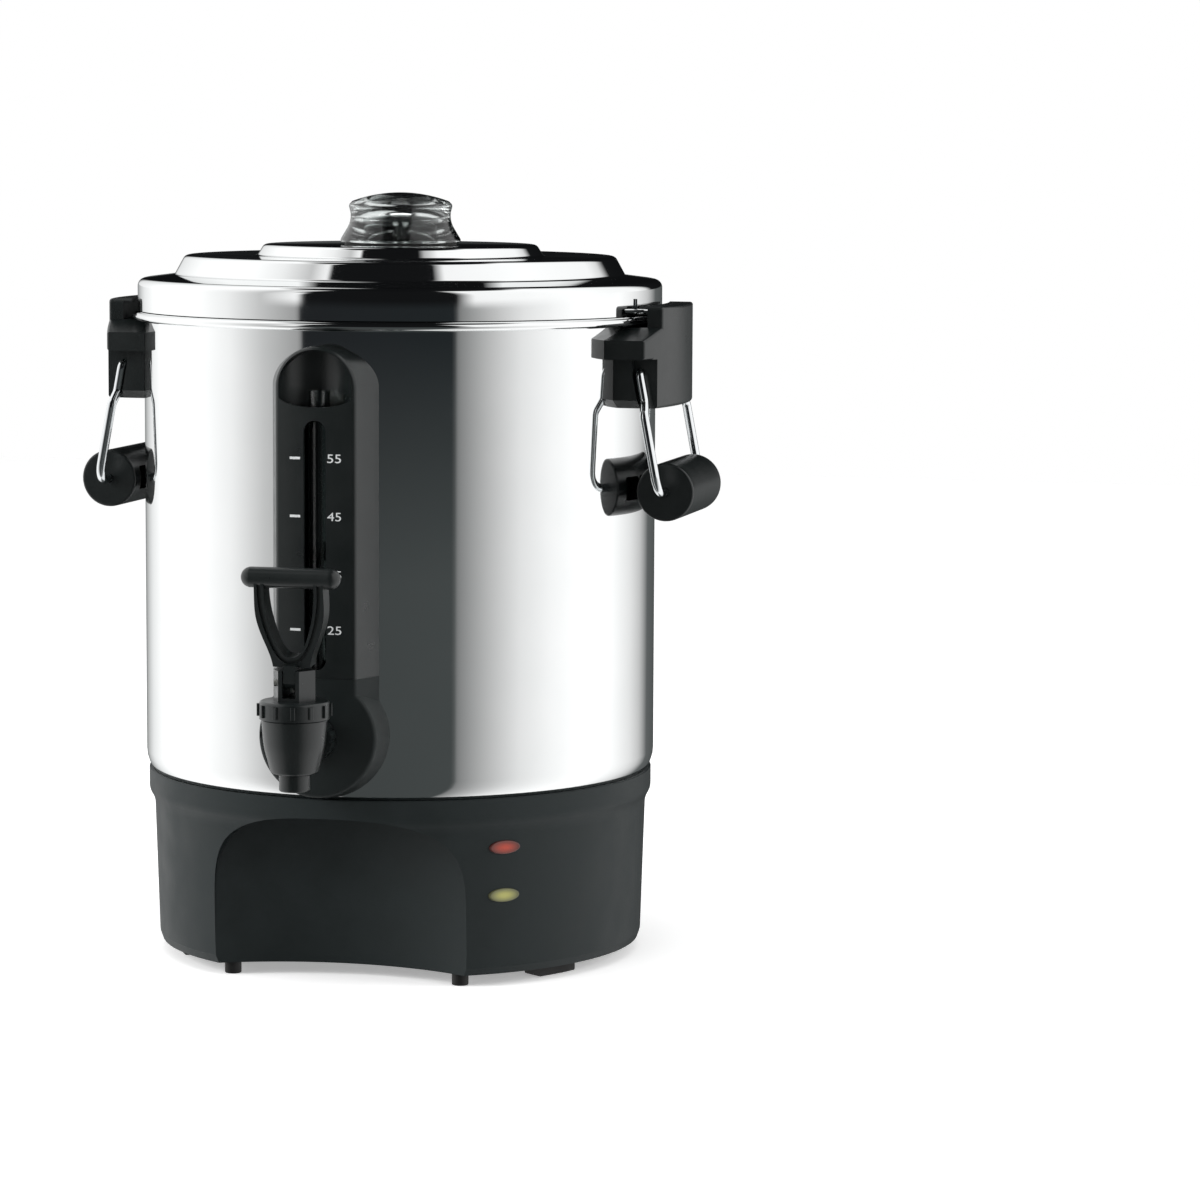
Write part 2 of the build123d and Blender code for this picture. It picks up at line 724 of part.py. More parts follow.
with BuildPart() as washer_outer:
    with BuildSketch(Plane.XZ.offset(body_r + seat_gap)):
        with Locations((0, tap_z)):
            Circle(tee_half)
            Circle(shank_r + seat_gap / 2, mode=Mode.SUBTRACT)
    extrude(amount=washer_out_t)
save(washer_outer, "washer_outer")

with BuildPart() as washer_inner:
    with BuildSketch(Plane.XZ.offset(washer_in_y - washer_in_t)):
        with Locations((0, tap_z)):
            Circle(washer_r)
            Circle(shank_r + seat_gap / 2, mode=Mode.SUBTRACT)
    extrude(amount=washer_in_t)
save(washer_inner, "washer_inner")

with BuildPart() as shank_nut:
    with BuildSketch(Plane.XZ.offset(washer_in_y - washer_in_t - shank_nut_h)):
        with Locations((0, tap_z)):
            RegularPolygon(shank_nut_r, 6)
            Circle(shank_r + run_gap, mode=Mode.SUBTRACT)
    extrude(amount=shank_nut_h)
save(shank_nut, "shank_nut")

ring_l = 8.0
ring_groove_r = 0.9     # the grooves round the ring
ring_grooves = 12
with BuildPart() as shank_ring:
    with BuildSketch(Plane.XZ.offset(cover_r + seat_gap)):
        with Locations((0, tap_z)):
            Circle(collar_r)
            Circle(shank_r + seat_gap, mode=Mode.SUBTRACT)
    extrude(amount=ring_l)
    with BuildSketch(Plane.XZ.offset(cover_r + seat_gap)):
        with Locations((0, tap_z)):
            with PolarLocations(collar_r, ring_grooves):
                Circle(ring_groove_r)
    extrude(amount=ring_l, mode=Mode.SUBTRACT)
save(shank_ring, "shank_ring")

# ================================================================ tap body
tap_top_z = 141.0
tap_top_r = 15.8
tap_low_z = 114.7
tap_low_r = 11.2
tap_mid_r = 14.7         # the sides bulge a little
tap_mid_z = 128.0
spout_r = 7.45
spout_low_z = 106.2
spout_bore = 4.5
valve_z = 120.0         # valve seat
spout_hole_r = spout_r + seat_gap
cavity_low_r = 9.4
cavity_top_r = 13.2
tap_low_round, tap_bulge_round, tap_top_round = 1.8, 30.0, 0.8
spout_round = 1.0
tap_axis = Axis((0, -tap_reach, 0), (0, 0, 1))
tap_plane = Plane(origin=(0, -tap_reach, 0), x_dir=(1, 0, 0), z_dir=(0, -1, 0))

with BuildPart() as tap_body:
    with BuildSketch(tap_plane):
        with BuildLine():
            FilletPolyline(
                (spout_hole_r, tap_low_z), (tap_low_r, tap_low_z), (tap_mid_r, tap_mid_z),
                (tap_top_r, tap_top_z), (cavity_top_r, tap_top_z),
                radius=[tap_low_round, tap_bulge_round, tap_top_round],
            )
            Polyline(
                (cavity_top_r, tap_top_z), (cavity_low_r, valve_z), (spout_hole_r, valve_z),
                (spout_hole_r, tap_low_z),
            )
        make_face()
    revolve(axis=tap_axis)
    with BuildSketch(Plane.XZ.offset(shank_end_y)):
        with Locations((0, tap_z)):
            Circle(shank_r)
    extrude(amount=tap_reach - shank_end_y - cavity_low_r)
    with BuildSketch(Plane.XZ.offset(shank_end_y)):
        with Locations((0, tap_z)):
            Circle(shank_bore)
    extrude(amount=tap_reach - shank_end_y, mode=Mode.SUBTRACT)
    with BuildSketch(Plane.XY.offset(tap_z)):
        with Locations((0, -tube_y)):
            Circle(channel_r)
    extrude(amount=2 * shank_r, mode=Mode.SUBTRACT)
save(tap_body, "tap_body")

# The spout is pressed into the body from below, and its upper end is the valve's seat.
with BuildPart() as tap_spout:
    with BuildSketch(tap_plane):
        with BuildLine():
            FilletPolyline(
                (spout_bore, spout_low_z), (spout_r, spout_low_z), (spout_r, valve_z),
                radius=spout_round,
            )
            Polyline(
                (spout_r, valve_z), (spout_bore, valve_z), (spout_bore, spout_low_z),
            )
        make_face()
    revolve(axis=tap_axis)
save(tap_spout, "tap_spout")

# ================================================================ tap bonnet
# Ribbed cap screwed on the tap's body, with a slotted hexagonal neck that carries the lever.
bonnet_r = 16.75
bonnet_top_z = 149.8
rib_out = 1.15
rib_w = 2.2
rib_low_z, rib_top_z = 142.4, 148.3
neck_side = 10.4
neck_top_z = 164.5
slot_w = 6.6
slot_low_z = 151.5
guide_r = 2.2           # valve stem
spring_seat_r = 5.2
spring_seat_z = 146.0
fork_pin_r = 1.6
pin_left, pin_right = 8.0, 6.2  # the lever's pin goes in from the left and stops in the neck
lift_arm = 5.5          # from the lever's pivot to the pin that lifts the valve
fork_y = tap_reach + lift_arm
fork_z = 158.5

with BuildPart() as tap_bonnet:
    with BuildSketch(Plane.XY.offset(tap_top_z + seat_gap)):
        with Locations((0, -tap_reach)):
            Circle(bonnet_r)
    extrude(amount=bonnet_top_z - tap_top_z - seat_gap)
    fillet(tap_bonnet.edges().group_by(Axis.Z)[-1], 1.5)
    with BuildSketch(Plane.XY.offset(rib_low_z)):
        with Locations((0, -tap_reach)):
            with PolarLocations(bonnet_r, 12, start_angle=15):
                RectangleRounded(2 * rib_out, rib_w, 0.4)
    extrude(amount=rib_top_z - rib_low_z)
    with BuildSketch(Plane.XY.offset(tap_top_z + seat_gap)):
        with Locations((0, -tap_reach)):
            RegularPolygon(neck_side, 6)
    extrude(amount=neck_top_z - tap_top_z - seat_gap)
    with BuildSketch(Plane.XY.offset(slot_low_z)):
        with Locations((0, -tap_reach)):
            Rectangle(slot_w, 4 * neck_side)
    extrude(amount=neck_top_z, mode=Mode.SUBTRACT)
    with BuildSketch(Plane.XY.offset(tap_top_z - 1)):
        with Locations((0, -tap_reach)):
            Circle(guide_r + free_gap)
    extrude(amount=neck_top_z, mode=Mode.SUBTRACT)
    with BuildSketch(Plane.XY.offset(tap_top_z - 1)):
        with Locations((0, -tap_reach)):
            Circle(spring_seat_r)
    extrude(amount=spring_seat_z - tap_top_z + 1, mode=Mode.SUBTRACT)
    with BuildSketch(Plane.YZ.offset(-2 * neck_side)):
        with Locations((-fork_y, fork_z)):
            Circle(fork_pin_r + run_gap)
    extrude(amount=2 * neck_side + pin_right + seat_gap, mode=Mode.SUBTRACT)
save(tap_bonnet, "tap_bonnet")

# ================================================================ lever, its pins and the valve
# A hoop with a finger bar. Its tongue turns on a pin in the neck, and a second pin lifts the valve.
bar_z = 208.5
bar_r = 4.95
bar_half = 24.5
hoop_depth = 9.0
hoop_lean = 7.0
hoop_low_z = 166.6
tongue_w = 6.0
fork_slot_w = 2.6
blade_t = 2.0
blade_w = 5.8
fork_slot_rise = 4.8    # the slot between the tongue's two cheeks
fork_slot_deep = 11.0
tongue_nose = 3.0       # the tongue in front of its pin and behind the lift pin
tongue_tail = 2.4
tongue_sunk = 0.5       # how far the tongue runs into the hoop's foot
lever_travel = 40.0     # degrees
lift_pin_r = 0.9

hoop_plane = Plane(
    origin=(0, -tap_reach, hoop_low_z), x_dir=(1, 0, 0),
    z_dir=(0, -cos(radians(hoop_lean)), -sin(radians(hoop_lean))),
)
bar_up = (bar_z - hoop_low_z) / cos(radians(hoop_lean))
outer_side = [(9.2, 0), (10.3, 5.0), (12.1, 9.8), (13.8, 13.9), (15.5, 18.6), (16.8, 24.0),
              (17.2, 30.0), (17.2, bar_up)]
inner_side = [(0, 4.6), (2.6, 5.2), (4.9, 7.2), (7.4, 11.6), (9.3, 17.0), (11.2, 24.5),
              (12.2, 32.0), (12.2, bar_up)]
groove_in, groove_out, groove_deep = 1.5, 3.3, 1.2  # the groove round the hoop's front


def hoop_opening(grow):
    """Outline of the hoop's opening, rounded at the foot and widened by a margin."""
    top_x = inner_side[-1][0]
    edge = [(x * (1 + grow / top_x), y - grow * sqrt(1 - (x / top_x) ** 2)) for x, y in inner_side]
    with BuildSketch() as opening:
        with BuildLine():
            Spline(*edge[::-1], *[(-x, y) for x, y in edge[1:]])
            Line((edge[-1][0], bar_up), (-edge[-1][0], bar_up))
        make_face()
    return opening.sketch


with BuildPart() as tap_lever:
    with BuildSketch(hoop_plane.offset(-hoop_depth / 2)):
        with BuildLine():
            right = Spline(*outer_side)
            left = Spline(*[(-x, y) for x, y in outer_side])
            Line(right @ 0, left @ 0)
            Line(right @ 1, left @ 1)
        make_face()
        add(hoop_opening(0), mode=Mode.SUBTRACT)
    extrude(amount=hoop_depth)
    with BuildSketch(hoop_plane.offset(hoop_depth / 2 - groove_deep)):
        add(hoop_opening(groove_out))
        add(hoop_opening(groove_in), mode=Mode.SUBTRACT)
    extrude(amount=groove_deep, mode=Mode.SUBTRACT)
    bar_y = tap_reach + bar_up * sin(radians(hoop_lean))
    with BuildSketch(Plane.YZ.offset(-bar_half + bar_r)):
        with Locations((-bar_y, bar_z)):
            Circle(bar_r)
    extrude(amount=2 * (bar_half - bar_r))
    with Locations((-bar_half + bar_r, -bar_y, bar_z), (bar_half - bar_r, -bar_y, bar_z)):
        Sphere(bar_r)
    with BuildSketch(Plane.YZ.offset(-tongue_w / 2)):
        with BuildLine():
            Polyline(
                (-fork_y - tongue_nose, hoop_low_z + tongue_sunk),
                (-fork_y - tongue_nose, fork_z), (-fork_y, fork_z - tongue_nose),
                (-tap_reach + tongue_tail, fork_z - tongue_tail),
                (-tap_reach + tongue_tail, hoop_low_z + tongue_sunk),
                (-fork_y - tongue_nose, hoop_low_z + tongue_sunk),
            )
        make_face()
    extrude(amount=tongue_w)
    with BuildSketch(Plane.YZ.offset(-fork_slot_w / 2)):
        with Locations((-fork_y - fork_pin_r / 2, fork_z + fork_slot_rise)):
            Rectangle(fork_slot_deep, fork_slot_deep, align=(Align.MIN, Align.MAX))
    extrude(amount=fork_slot_w, mode=Mode.SUBTRACT)
    with BuildSketch(Plane.YZ.offset(-tongue_w)):
        with Locations((-fork_y, fork_z)):
            Circle(fork_pin_r + run_gap)
        with Locations((-tap_reach, fork_z)):
            Circle(lift_pin_r + run_gap)
    extrude(amount=2 * tongue_w, mode=Mode.SUBTRACT)
save(tap_lever, "tap_lever")

with BuildPart() as lever_pin:
    with BuildSketch(Plane.YZ.offset(-pin_left)):
        with Locations((-fork_y, fork_z)):
            Circle(fork_pin_r)
    extrude(amount=pin_left + pin_right)
save(lever_pin, "lever_pin")

with BuildPart() as lift_pin:
    with BuildSketch(Plane.YZ.offset(-tongue_w / 2 + seat_gap)):
        with Locations((-tap_reach, fork_z)):
            Circle(lift_pin_r)
    extrude(amount=tongue_w - 2 * seat_gap)
save(lift_pin, "lift_pin")

cup_low_z = valve_z + free_gap
cup_h = 6.0
cup_r = 6.5
cup_web = 2.0           # rubber below the valve stem
cup_lip = 2.5
blade_low_z = 153.0
blade_top_z = 162.0
window_play = 0.45
pin_shift = (fork_y - tap_reach) * (1 - cos(radians(lever_travel)))

with BuildPart() as valve_stem:
    with BuildSketch(Plane.XY.offset(cup_low_z + cup_web)):
        with Locations((0, -tap_reach)):
            Circle(guide_r)
    extrude(amount=blade_low_z - cup_low_z - cup_web)
    with BuildSketch(Plane.YZ.offset(-blade_t / 2)):
        with Locations((-tap_reach - window_play, (blade_low_z + blade_top_z) / 2)):
            RectangleRounded(blade_w, blade_top_z - blade_low_z, 1.0)
        with Locations((-tap_reach - pin_shift / 2, fork_z)):
            SlotOverall(
                pin_shift + 2 * (lift_pin_r + window_play), 2 * (lift_pin_r + window_play),
                mode=Mode.SUBTRACT,
            )
    extrude(amount=blade_t)
save(valve_stem, "valve_stem")

with BuildPart() as seat_cup:
    with BuildSketch(tap_plane):
        with BuildLine():
            Polyline(
                (0, cup_low_z), (cup_r, cup_low_z), (cup_r, cup_low_z + cup_lip),
                (spring_seat_r, cup_low_z + cup_h), (guide_r + run_gap, cup_low_z + cup_h),
                (guide_r + run_gap, cup_low_z + cup_web - run_gap), (0, cup_low_z + cup_web - run_gap),
                (0, cup_low_z),
            )
        make_face()
    revolve(axis=tap_axis)
save(seat_cup, "seat_cup")

spring_r = 4.5
spring_wire = 0.5
spring_low_z = cup_low_z + cup_h
spring_turns = 6
with BuildPart() as valve_spring:
    with BuildLine():
        coil = Helix(
            pitch=(spring_seat_z - spring_low_z - 2 * spring_wire) / spring_turns,
            height=spring_seat_z - spring_low_z - 2 * spring_wire, radius=spring_r,
            center=(0, -tap_reach, spring_low_z + spring_wire),
        )
    with BuildSketch(Plane(origin=coil @ 0, z_dir=coil % 0)):
        Circle(spring_wire)
    sweep(path=coil)
save(valve_spring, "valve_spring")

# ================================================================ handle brackets
head_x = sqrt(inner_r**2 - (screw_half + head_r) ** 2) - seat_gap
groove_floor = arm_in_half - wire_r - 0.5
lean = atan2(grip_axis_r - pivot_r, pivot_z - grip_axis_z)
arm_len = hypot(grip_axis_r - pivot_r, pivot_z - grip_axis_z)
stub_hole_end = stub_half - 1.0
swing_room = 3.2        # room for the wire inboard of its pivot
swing_over = 2.0        # the room's cut runs on past the bracket
swing_low_z = bracket_low_z - swing_over
screw_spare = 1.0       # solid left at the end of a screw
stub_bend, jog_bend, arm_bend = 2.6, 4.0, 9.0
pocket_l, pocket_h, pocket_step = 14.5, 12.0, 17.0  # pockets that core out a grip
grip_edge, pocket_corner, pocket_web = 1.2, 1.5, 3.0

for side, name in ((1, "right"), (-1, "left")):
    with BuildPart() as bracket:
        with BuildSketch(Plane.YZ.offset(0 if side > 0 else -bracket_r)):
            with BuildLine():
                Polyline(
                    (-bracket_half, band_low_z), (-bracket_half, bracket_low_z),
                    (bracket_half, bracket_low_z), (bracket_half, band_low_z),
                    (band_half, band_low_z), (band_half, band_top_z), (head_half, cheek_z),
                    (head_half, bracket_top_z), (-head_half, bracket_top_z),
                    (-head_half, cheek_z), (-band_half, band_top_z), (-band_half, band_low_z),
                    (-bracket_half, band_low_z),
                )
            outline = make_face()
            chamfer(outline.vertices().group_by(Axis.Y)[0], bracket_corner)
            fillet(outline.vertices().group_by(Axis.Y)[-1], bracket_round)
        extrude(amount=bracket_r)
        with BuildSketch(Plane.XY.offset(bracket_low_z - 1)):
            Circle(bracket_r)
            Circle(body_r + seat_gap, mode=Mode.SUBTRACT)
        extrude(amount=2 * (bracket_top_z - bracket_low_z), mode=Mode.INTERSECT)
        fillet(bracket.edges().filter_by(on_front(bracket_r)), bracket_soft)
        # room for the rolled rim and for the lid's wall, with a roof that the lug's slot crosses
        with BuildSketch(Plane.XY.offset(cheek_z)):
            Circle(bracket_r - head_wall)
        extrude(amount=bracket_top_z - cheek_z - roof_h, mode=Mode.SUBTRACT)
        with BuildSketch(Plane.XY.offset(cheek_z)):
            Circle(roof_r)
        extrude(amount=bracket_top_z, mode=Mode.SUBTRACT)
        with BuildSketch(Plane.XY.offset(cheek_z)):
            with Locations((side * sqrt(roof_r**2 - lug_across**2), -side * lug_across)):
                Rectangle(2 * (bracket_r - head_wall - roof_r), 2 * notch_half)
        extrude(amount=bracket_top_z, mode=Mode.SUBTRACT)
        # side pockets in which the wire swings, and the pivot holes
        for end in (1, -1):
            with BuildSketch(Plane.XZ.offset(-end * groove_floor)):
                with BuildLine():
                    Polyline(
                        (side * (pivot_r - swing_room), band_low_z),
                        (side * (pivot_r - swing_room), pivot_z),
                        (side * (pivot_r - swing_room + (pivot_z - swing_low_z) * sin(lean)),
                         swing_low_z),
                        (side * (bracket_r + swing_over), swing_low_z),
                        (side * (bracket_r + swing_over), band_low_z),
                        (side * (pivot_r - swing_room), band_low_z),
                    )
                make_face()
            extrude(amount=-end * (band_half - groove_floor), mode=Mode.SUBTRACT)
            with BuildSketch(Plane.XZ.offset(-end * stub_hole_end)):
                with Locations((side * pivot_r, pivot_z)):
                    Circle(wire_r + run_gap)
            extrude(amount=-end * (band_half - stub_hole_end), mode=Mode.SUBTRACT)
        with BuildSketch(Plane.YZ.offset(side * head_x)):
            with Locations((-screw_half, screw_z), (screw_half, screw_z)):
                Circle(screw_r + run_gap)
        extrude(amount=side * (bracket_r - head_wall - head_x), mode=Mode.SUBTRACT)
    save(bracket, f"bracket_{name}")

    # screws from inside the vessel
    with BuildPart() as bracket_screws:
        with BuildSketch(Plane.YZ.offset(side * (head_x - head_h))):
            with Locations((-screw_half, screw_z), (screw_half, screw_z)):
                Circle(head_r)
        extrude(amount=side * head_h)
        with BuildSketch(Plane.YZ.offset(side * head_x)):
            with Locations((-screw_half, screw_z), (screw_half, screw_z)):
                Circle(screw_r)
        extrude(amount=side * (bracket_r - head_wall - head_x - screw_spare))
    save(bracket_screws, f"bracket_screws_{name}")

    # bent steel wire, lying in a plane that leans outwards from the pivots
    bail_plane = Plane(
        origin=(side * pivot_r, 0, pivot_z), x_dir=(0, 1, 0),
        z_dir=(side * cos(lean), 0, sin(lean)) if side < 0 else (cos(lean), 0, sin(lean)),
    )
    down = -1 if (bail_plane.y_dir.Z > 0) else 1
    with BuildPart() as bail:
        with BuildLine(bail_plane):
            wire = FilletPolyline(
                (stub_half, 0), (arm_in_half, 0), (arm_in_half, down * jog_start),
                (arm_half, down * jog_end), (arm_half, down * arm_len),
                (-arm_half, down * arm_len), (-arm_half, down * jog_end),
                (-arm_in_half, down * jog_start), (-arm_in_half, 0), (-stub_half, 0),
                radius=[stub_bend, jog_bend, jog_bend, arm_bend,
                        arm_bend, jog_bend, jog_bend, stub_bend],
            )
        with BuildSketch(Plane(origin=wire @ 0, z_dir=wire % 0)):
            Circle(wire_r)
        sweep(path=wire)
    save(bail, f"bail_{name}")

    # moulded grip on the wire, cored out on the side that faces the urn
    with BuildPart() as grip:
        with BuildSketch(Plane.XZ.offset(-grip_half)):
            with Locations((side * grip_axis_r, grip_axis_z)):
                Circle(grip_r)
        extrude(amount=2 * grip_half)
        fillet(grip.edges().filter_by(GeomType.CIRCLE), grip_edge)
        for pocket_mid in (-pocket_step, 0, pocket_step):
            with BuildSketch(Plane.YZ.offset(side * (grip_axis_r - grip_r))):
                with Locations((pocket_mid, grip_axis_z)):
                    RectangleRounded(pocket_l, pocket_h, pocket_corner)
            extrude(amount=side * (grip_r - wire_r - pocket_web), mode=Mode.SUBTRACT)
        with BuildSketch(Plane.XZ.offset(-grip_half - 1)):
            with Locations((side * grip_axis_r, grip_axis_z)):
                Circle(wire_r + seat_gap)
        extrude(amount=2 * grip_half + 2, mode=Mode.SUBTRACT)
    save(grip, f"grip_{name}")

# ================================================================ lid
# Pressed steel lid in three steps, with an oval steam vent, a skirt that enters the vessel,
# two lugs and a clear knob.
lid_low_z = rim_z + free_gap
hem_t = steel
vent_ring_r = (tier2_r + tier2_in_r) / 2
vent_angle = 155.0
vent_half_l, vent_half_w = 17.0, 7.0
vent_dip = 1.0
vent_hole_r = 1.3

with BuildPart() as lid_shell:
    with BuildSketch(Plane.XZ):
        with BuildLine():
            FilletPolyline(
                (knob_hole_r, tier1_z), (tier1_r, tier1_z), (tier2_in_r, tier2_z),
                (tier2_r, tier2_z), (tier3_in_r, tier3_in_z), (lid_wall_r, tier3_z),
                (lid_wall_r, lid_low_z),
                radius=[1.6, 1.2, 1.6, 1.6, 2.2],
            )
            offset(amount=steel, side=Side.RIGHT)
        make_face()
    revolve(axis=Axis.Z)
    vent_x, vent_y = around(vent_ring_r, vent_angle)
    with BuildSketch(Plane(origin=(vent_x, vent_y, tier2_z - vent_dip - steel),
                           x_dir=(cos(radians(vent_angle)), sin(radians(vent_angle)), 0),
                           z_dir=(0, 0, 1))):
        Ellipse(vent_half_l + steel, vent_half_w + steel)
    extrude(amount=vent_dip + steel / 2)
    with BuildSketch(Plane(origin=(vent_x, vent_y, tier2_z - vent_dip),
                           x_dir=(cos(radians(vent_angle)), sin(radians(vent_angle)), 0),
                           z_dir=(0, 0, 1))):
        Ellipse(vent_half_l, vent_half_w)
    extrude(amount=2 * vent_dip, mode=Mode.SUBTRACT)
    with BuildSketch(Plane(origin=(vent_x, vent_y, tier2_z - 3 * vent_dip),
                           x_dir=(cos(radians(vent_angle)), sin(radians(vent_angle)), 0),
                           z_dir=(0, 0, 1))):
        with GridLocations(5.5, 0, 5, 1):
            Circle(vent_hole_r)
    extrude(amount=4 * vent_dip, mode=Mode.SUBTRACT)
save(lid_shell, "lid_shell")

skirt_r = inner_r - free_gap
with BuildPart() as lid_skirt:
    with BuildSketch(Plane.XZ):
        with BuildLine():
            FilletPolyline(
                (lid_wall_r - steel - seat_gap, lid_low_z + steel),
                (skirt_r - steel, lid_low_z + steel), (skirt_r - steel, skirt_low_z),
                radius=1.2,
            )
            offset(amount=steel, side=Side.LEFT)
        make_face()
    revolve(axis=Axis.Z)
save(lid_skirt, "lid_skirt")

# two stamped lugs welded on the lid's wall: a pin that turns under the bracket's roof and a tab
lug_angles = (90 - degrees(asin(lug_across / roof_r)), -90 - degrees(asin(lug_across / roof_r)))
with BuildPart() as lid_lugs:
    for angle in lug_angles:
        wall_plane = outward(angle, lid_wall_r + seat_gap, lug_z)
        with BuildSketch(wall_plane):
            Circle(lug_r)
        extrude(amount=lug_end_r - lid_wall_r)
        with BuildSketch(wall_plane):
            with Locations((0, (lug_top_z - lug_z) / 2)):
                Rectangle(lug_t, lug_top_z - lug_z)
        extrude(amount=lug_tab_w)
save(lid_lugs, "lid_lugs")

knob_waist_z = 373.8
knob_rim_z = 380.7
knob_neck_low_z = 354.5
knob_shoulder_z = 363.4
knob_edge = 2.0
knob_waist_bend = 8.0
knob_round = 0.5
knob_crown_z = 382.6
knob_bore_z = 370.8
with BuildPart() as lid_knob:
    with BuildSketch(Plane.XZ):
        with BuildLine():
            FilletPolyline(
                (knob_bore, knob_neck_low_z), (knob_neck_r, knob_neck_low_z),
                (knob_neck_r, knob_base_z), (knob_base_r, knob_base_z),
                (knob_base_r, knob_shoulder_z), (knob_waist_r, knob_waist_z),
                (knob_rim_r, knob_rim_z), (knob_rim_r - knob_edge, knob_rim_z + knob_edge),
                radius=[knob_round, knob_round, knob_round, knob_edge, knob_waist_bend, knob_edge],
            )
            TangentArc(
                (0, knob_top_z), (knob_rim_r - knob_edge, knob_rim_z + knob_edge), tangent=(1, 0)
            )
            Line((0, knob_top_z), (0, knob_crown_z))
            TangentArc((0, knob_crown_z), (knob_bore, knob_bore_z), tangent=(1, 0))
            Line((knob_bore, knob_bore_z), (knob_bore, knob_neck_low_z))
        make_face()
    revolve(axis=Axis.Z)
save(lid_knob, "lid_knob")

gasket_in = 2.0         # how far the gasket hides under the knob
with BuildPart() as knob_gasket:
    with BuildSketch(Plane.XY.offset(tier1_z)):
        Circle(knob_base_r - gasket_in)
        Circle(knob_neck_r + knob_round + seat_gap, mode=Mode.SUBTRACT)
    extrude(amount=knob_base_z - tier1_z)
save(knob_gasket, "knob_gasket")

ring_h, ring_w = 3.5, 5.0
with BuildPart() as knob_ring:
    with BuildSketch(Plane.XY.offset(tier1_z - steel - ring_h)):
        Circle(knob_neck_r + ring_w)
        Circle(knob_neck_r + run_gap, mode=Mode.SUBTRACT)
    extrude(amount=ring_h)
save(knob_ring, "knob_ring")

# ================================================================ brewing basket
basket_z = basket_top_z - basket_upper_h - basket_lower_h
step_z = basket_z + basket_lower_h
step_rise = 2.0
hole_r = 1.1
hole_rings = 6
hole_margin = 16.0
hole_step = (basket_low_r - hole_margin) / hole_rings
holes_each = 12         # more holes in each ring than in the one inside it

with BuildPart() as basket:
    with BuildSketch(Plane.XZ):
        with BuildLine():
            FilletPolyline(
                (hub_r + run_gap, basket_z), (basket_low_r, basket_z), (basket_low_r, step_z),
                (basket_r, step_z + step_rise), (basket_r, basket_top_z),
                radius=[5.0, 2.5, 3.0],
            )
            offset(amount=basket_wall, side=Side.LEFT)
        make_face()
    revolve(axis=Axis.Z)
    with BuildSketch(Plane.XY.offset(basket_z - 1)):
        for ring in range(1, hole_rings + 1):
            with PolarLocations(ring * hole_step + hub_flange_r / 2, (ring + 1) * holes_each):
                Circle(hole_r)
    extrude(amount=basket_wall + 2, mode=Mode.SUBTRACT)
save(basket, "basket")

with BuildPart() as basket_hub:
    with BuildSketch(Plane.XZ):
        with BuildLine():
            Polyline(
                (stem_r + free_gap, basket_z), (hub_r, basket_z),
                (hub_r, basket_z + basket_wall), (hub_flange_r, basket_z + basket_wall),
                (hub_flange_r, basket_z + 2 * basket_wall),
                (hub_r, basket_z + 3 * basket_wall), (hub_r, basket_z + hub_h - 4.0),
                (hub_r + 1.8, basket_z + hub_h), (hub_r - 1.2, basket_z + hub_h),
                (stem_r + free_gap, basket_z + hub_h - 5.0), (stem_r + free_gap, basket_z),
            )
        make_face()
    revolve(axis=Axis.Z)
save(basket_hub, "basket_hub")

# ================================================================ pump stem
well_in_z = well_z + steel
foot_z = well_in_z + free_gap
flare_r = 5.6
dish_r = 20.5
dish_t = 1.2
dish_neck_r, dish_neck_h = 7.0, 4.0
dish_rim_z = foot_z + 4.2
dish_crown_z = dish_rim_z + 6.0
valve_disc_r = 13.0
valve_disc_t = 1.0
valve_disc_z = foot_z + 1.4

with BuildPart() as pump_stem:
    with BuildSketch(Plane.XZ):
        with BuildLine():
            Polyline(
                (stem_bore, foot_z), (flare_r, foot_z), (flare_r, foot_z + 1.0),
                (stem_r, foot_z + 1.2), (stem_r, stem_top_z), (stem_bore, stem_top_z),
                (stem_bore, foot_z),
            )
        make_face()
    revolve(axis=Axis.Z)
save(pump_stem, "pump_stem")

collar_t, collar_step = 3.0, 0.6
with BuildPart() as stem_collar:
    with BuildSketch(Plane.XY.offset(basket_z - collar_t)):
        Circle(hub_r - collar_step)
        Circle(stem_r + run_gap, mode=Mode.SUBTRACT)
    extrude(amount=collar_t)
save(stem_collar, "stem_collar")

with BuildPart() as pump_dish:
    with BuildSketch(Plane.XZ):
        with BuildLine():
            Polyline(
                (stem_r + run_gap, dish_crown_z - dish_t),
                (dish_neck_r - dish_t / 2, dish_crown_z - dish_t),
                (dish_r - dish_t, dish_rim_z - dish_t), (dish_r - dish_t, foot_z),
                (dish_r, foot_z), (dish_r, dish_rim_z), (dish_neck_r, dish_crown_z),
                (dish_neck_r, dish_crown_z + dish_neck_h),
                (stem_r + run_gap, dish_crown_z + dish_neck_h),
                (stem_r + run_gap, dish_crown_z - dish_t),
            )
        make_face()
    revolve(axis=Axis.Z)
save(pump_dish, "pump_dish")

with BuildPart() as pump_valve:
    with BuildSketch(Plane.XY.offset(valve_disc_z)):
        Circle(valve_disc_r)
        Circle(stem_r + free_gap, mode=Mode.SUBTRACT)
    extrude(amount=valve_disc_t)
save(pump_valve, "pump_valve")
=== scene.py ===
from math import cos, pi, radians, sin, sqrt, tan

import bmesh
import bpy
from mathutils import Matrix, Vector


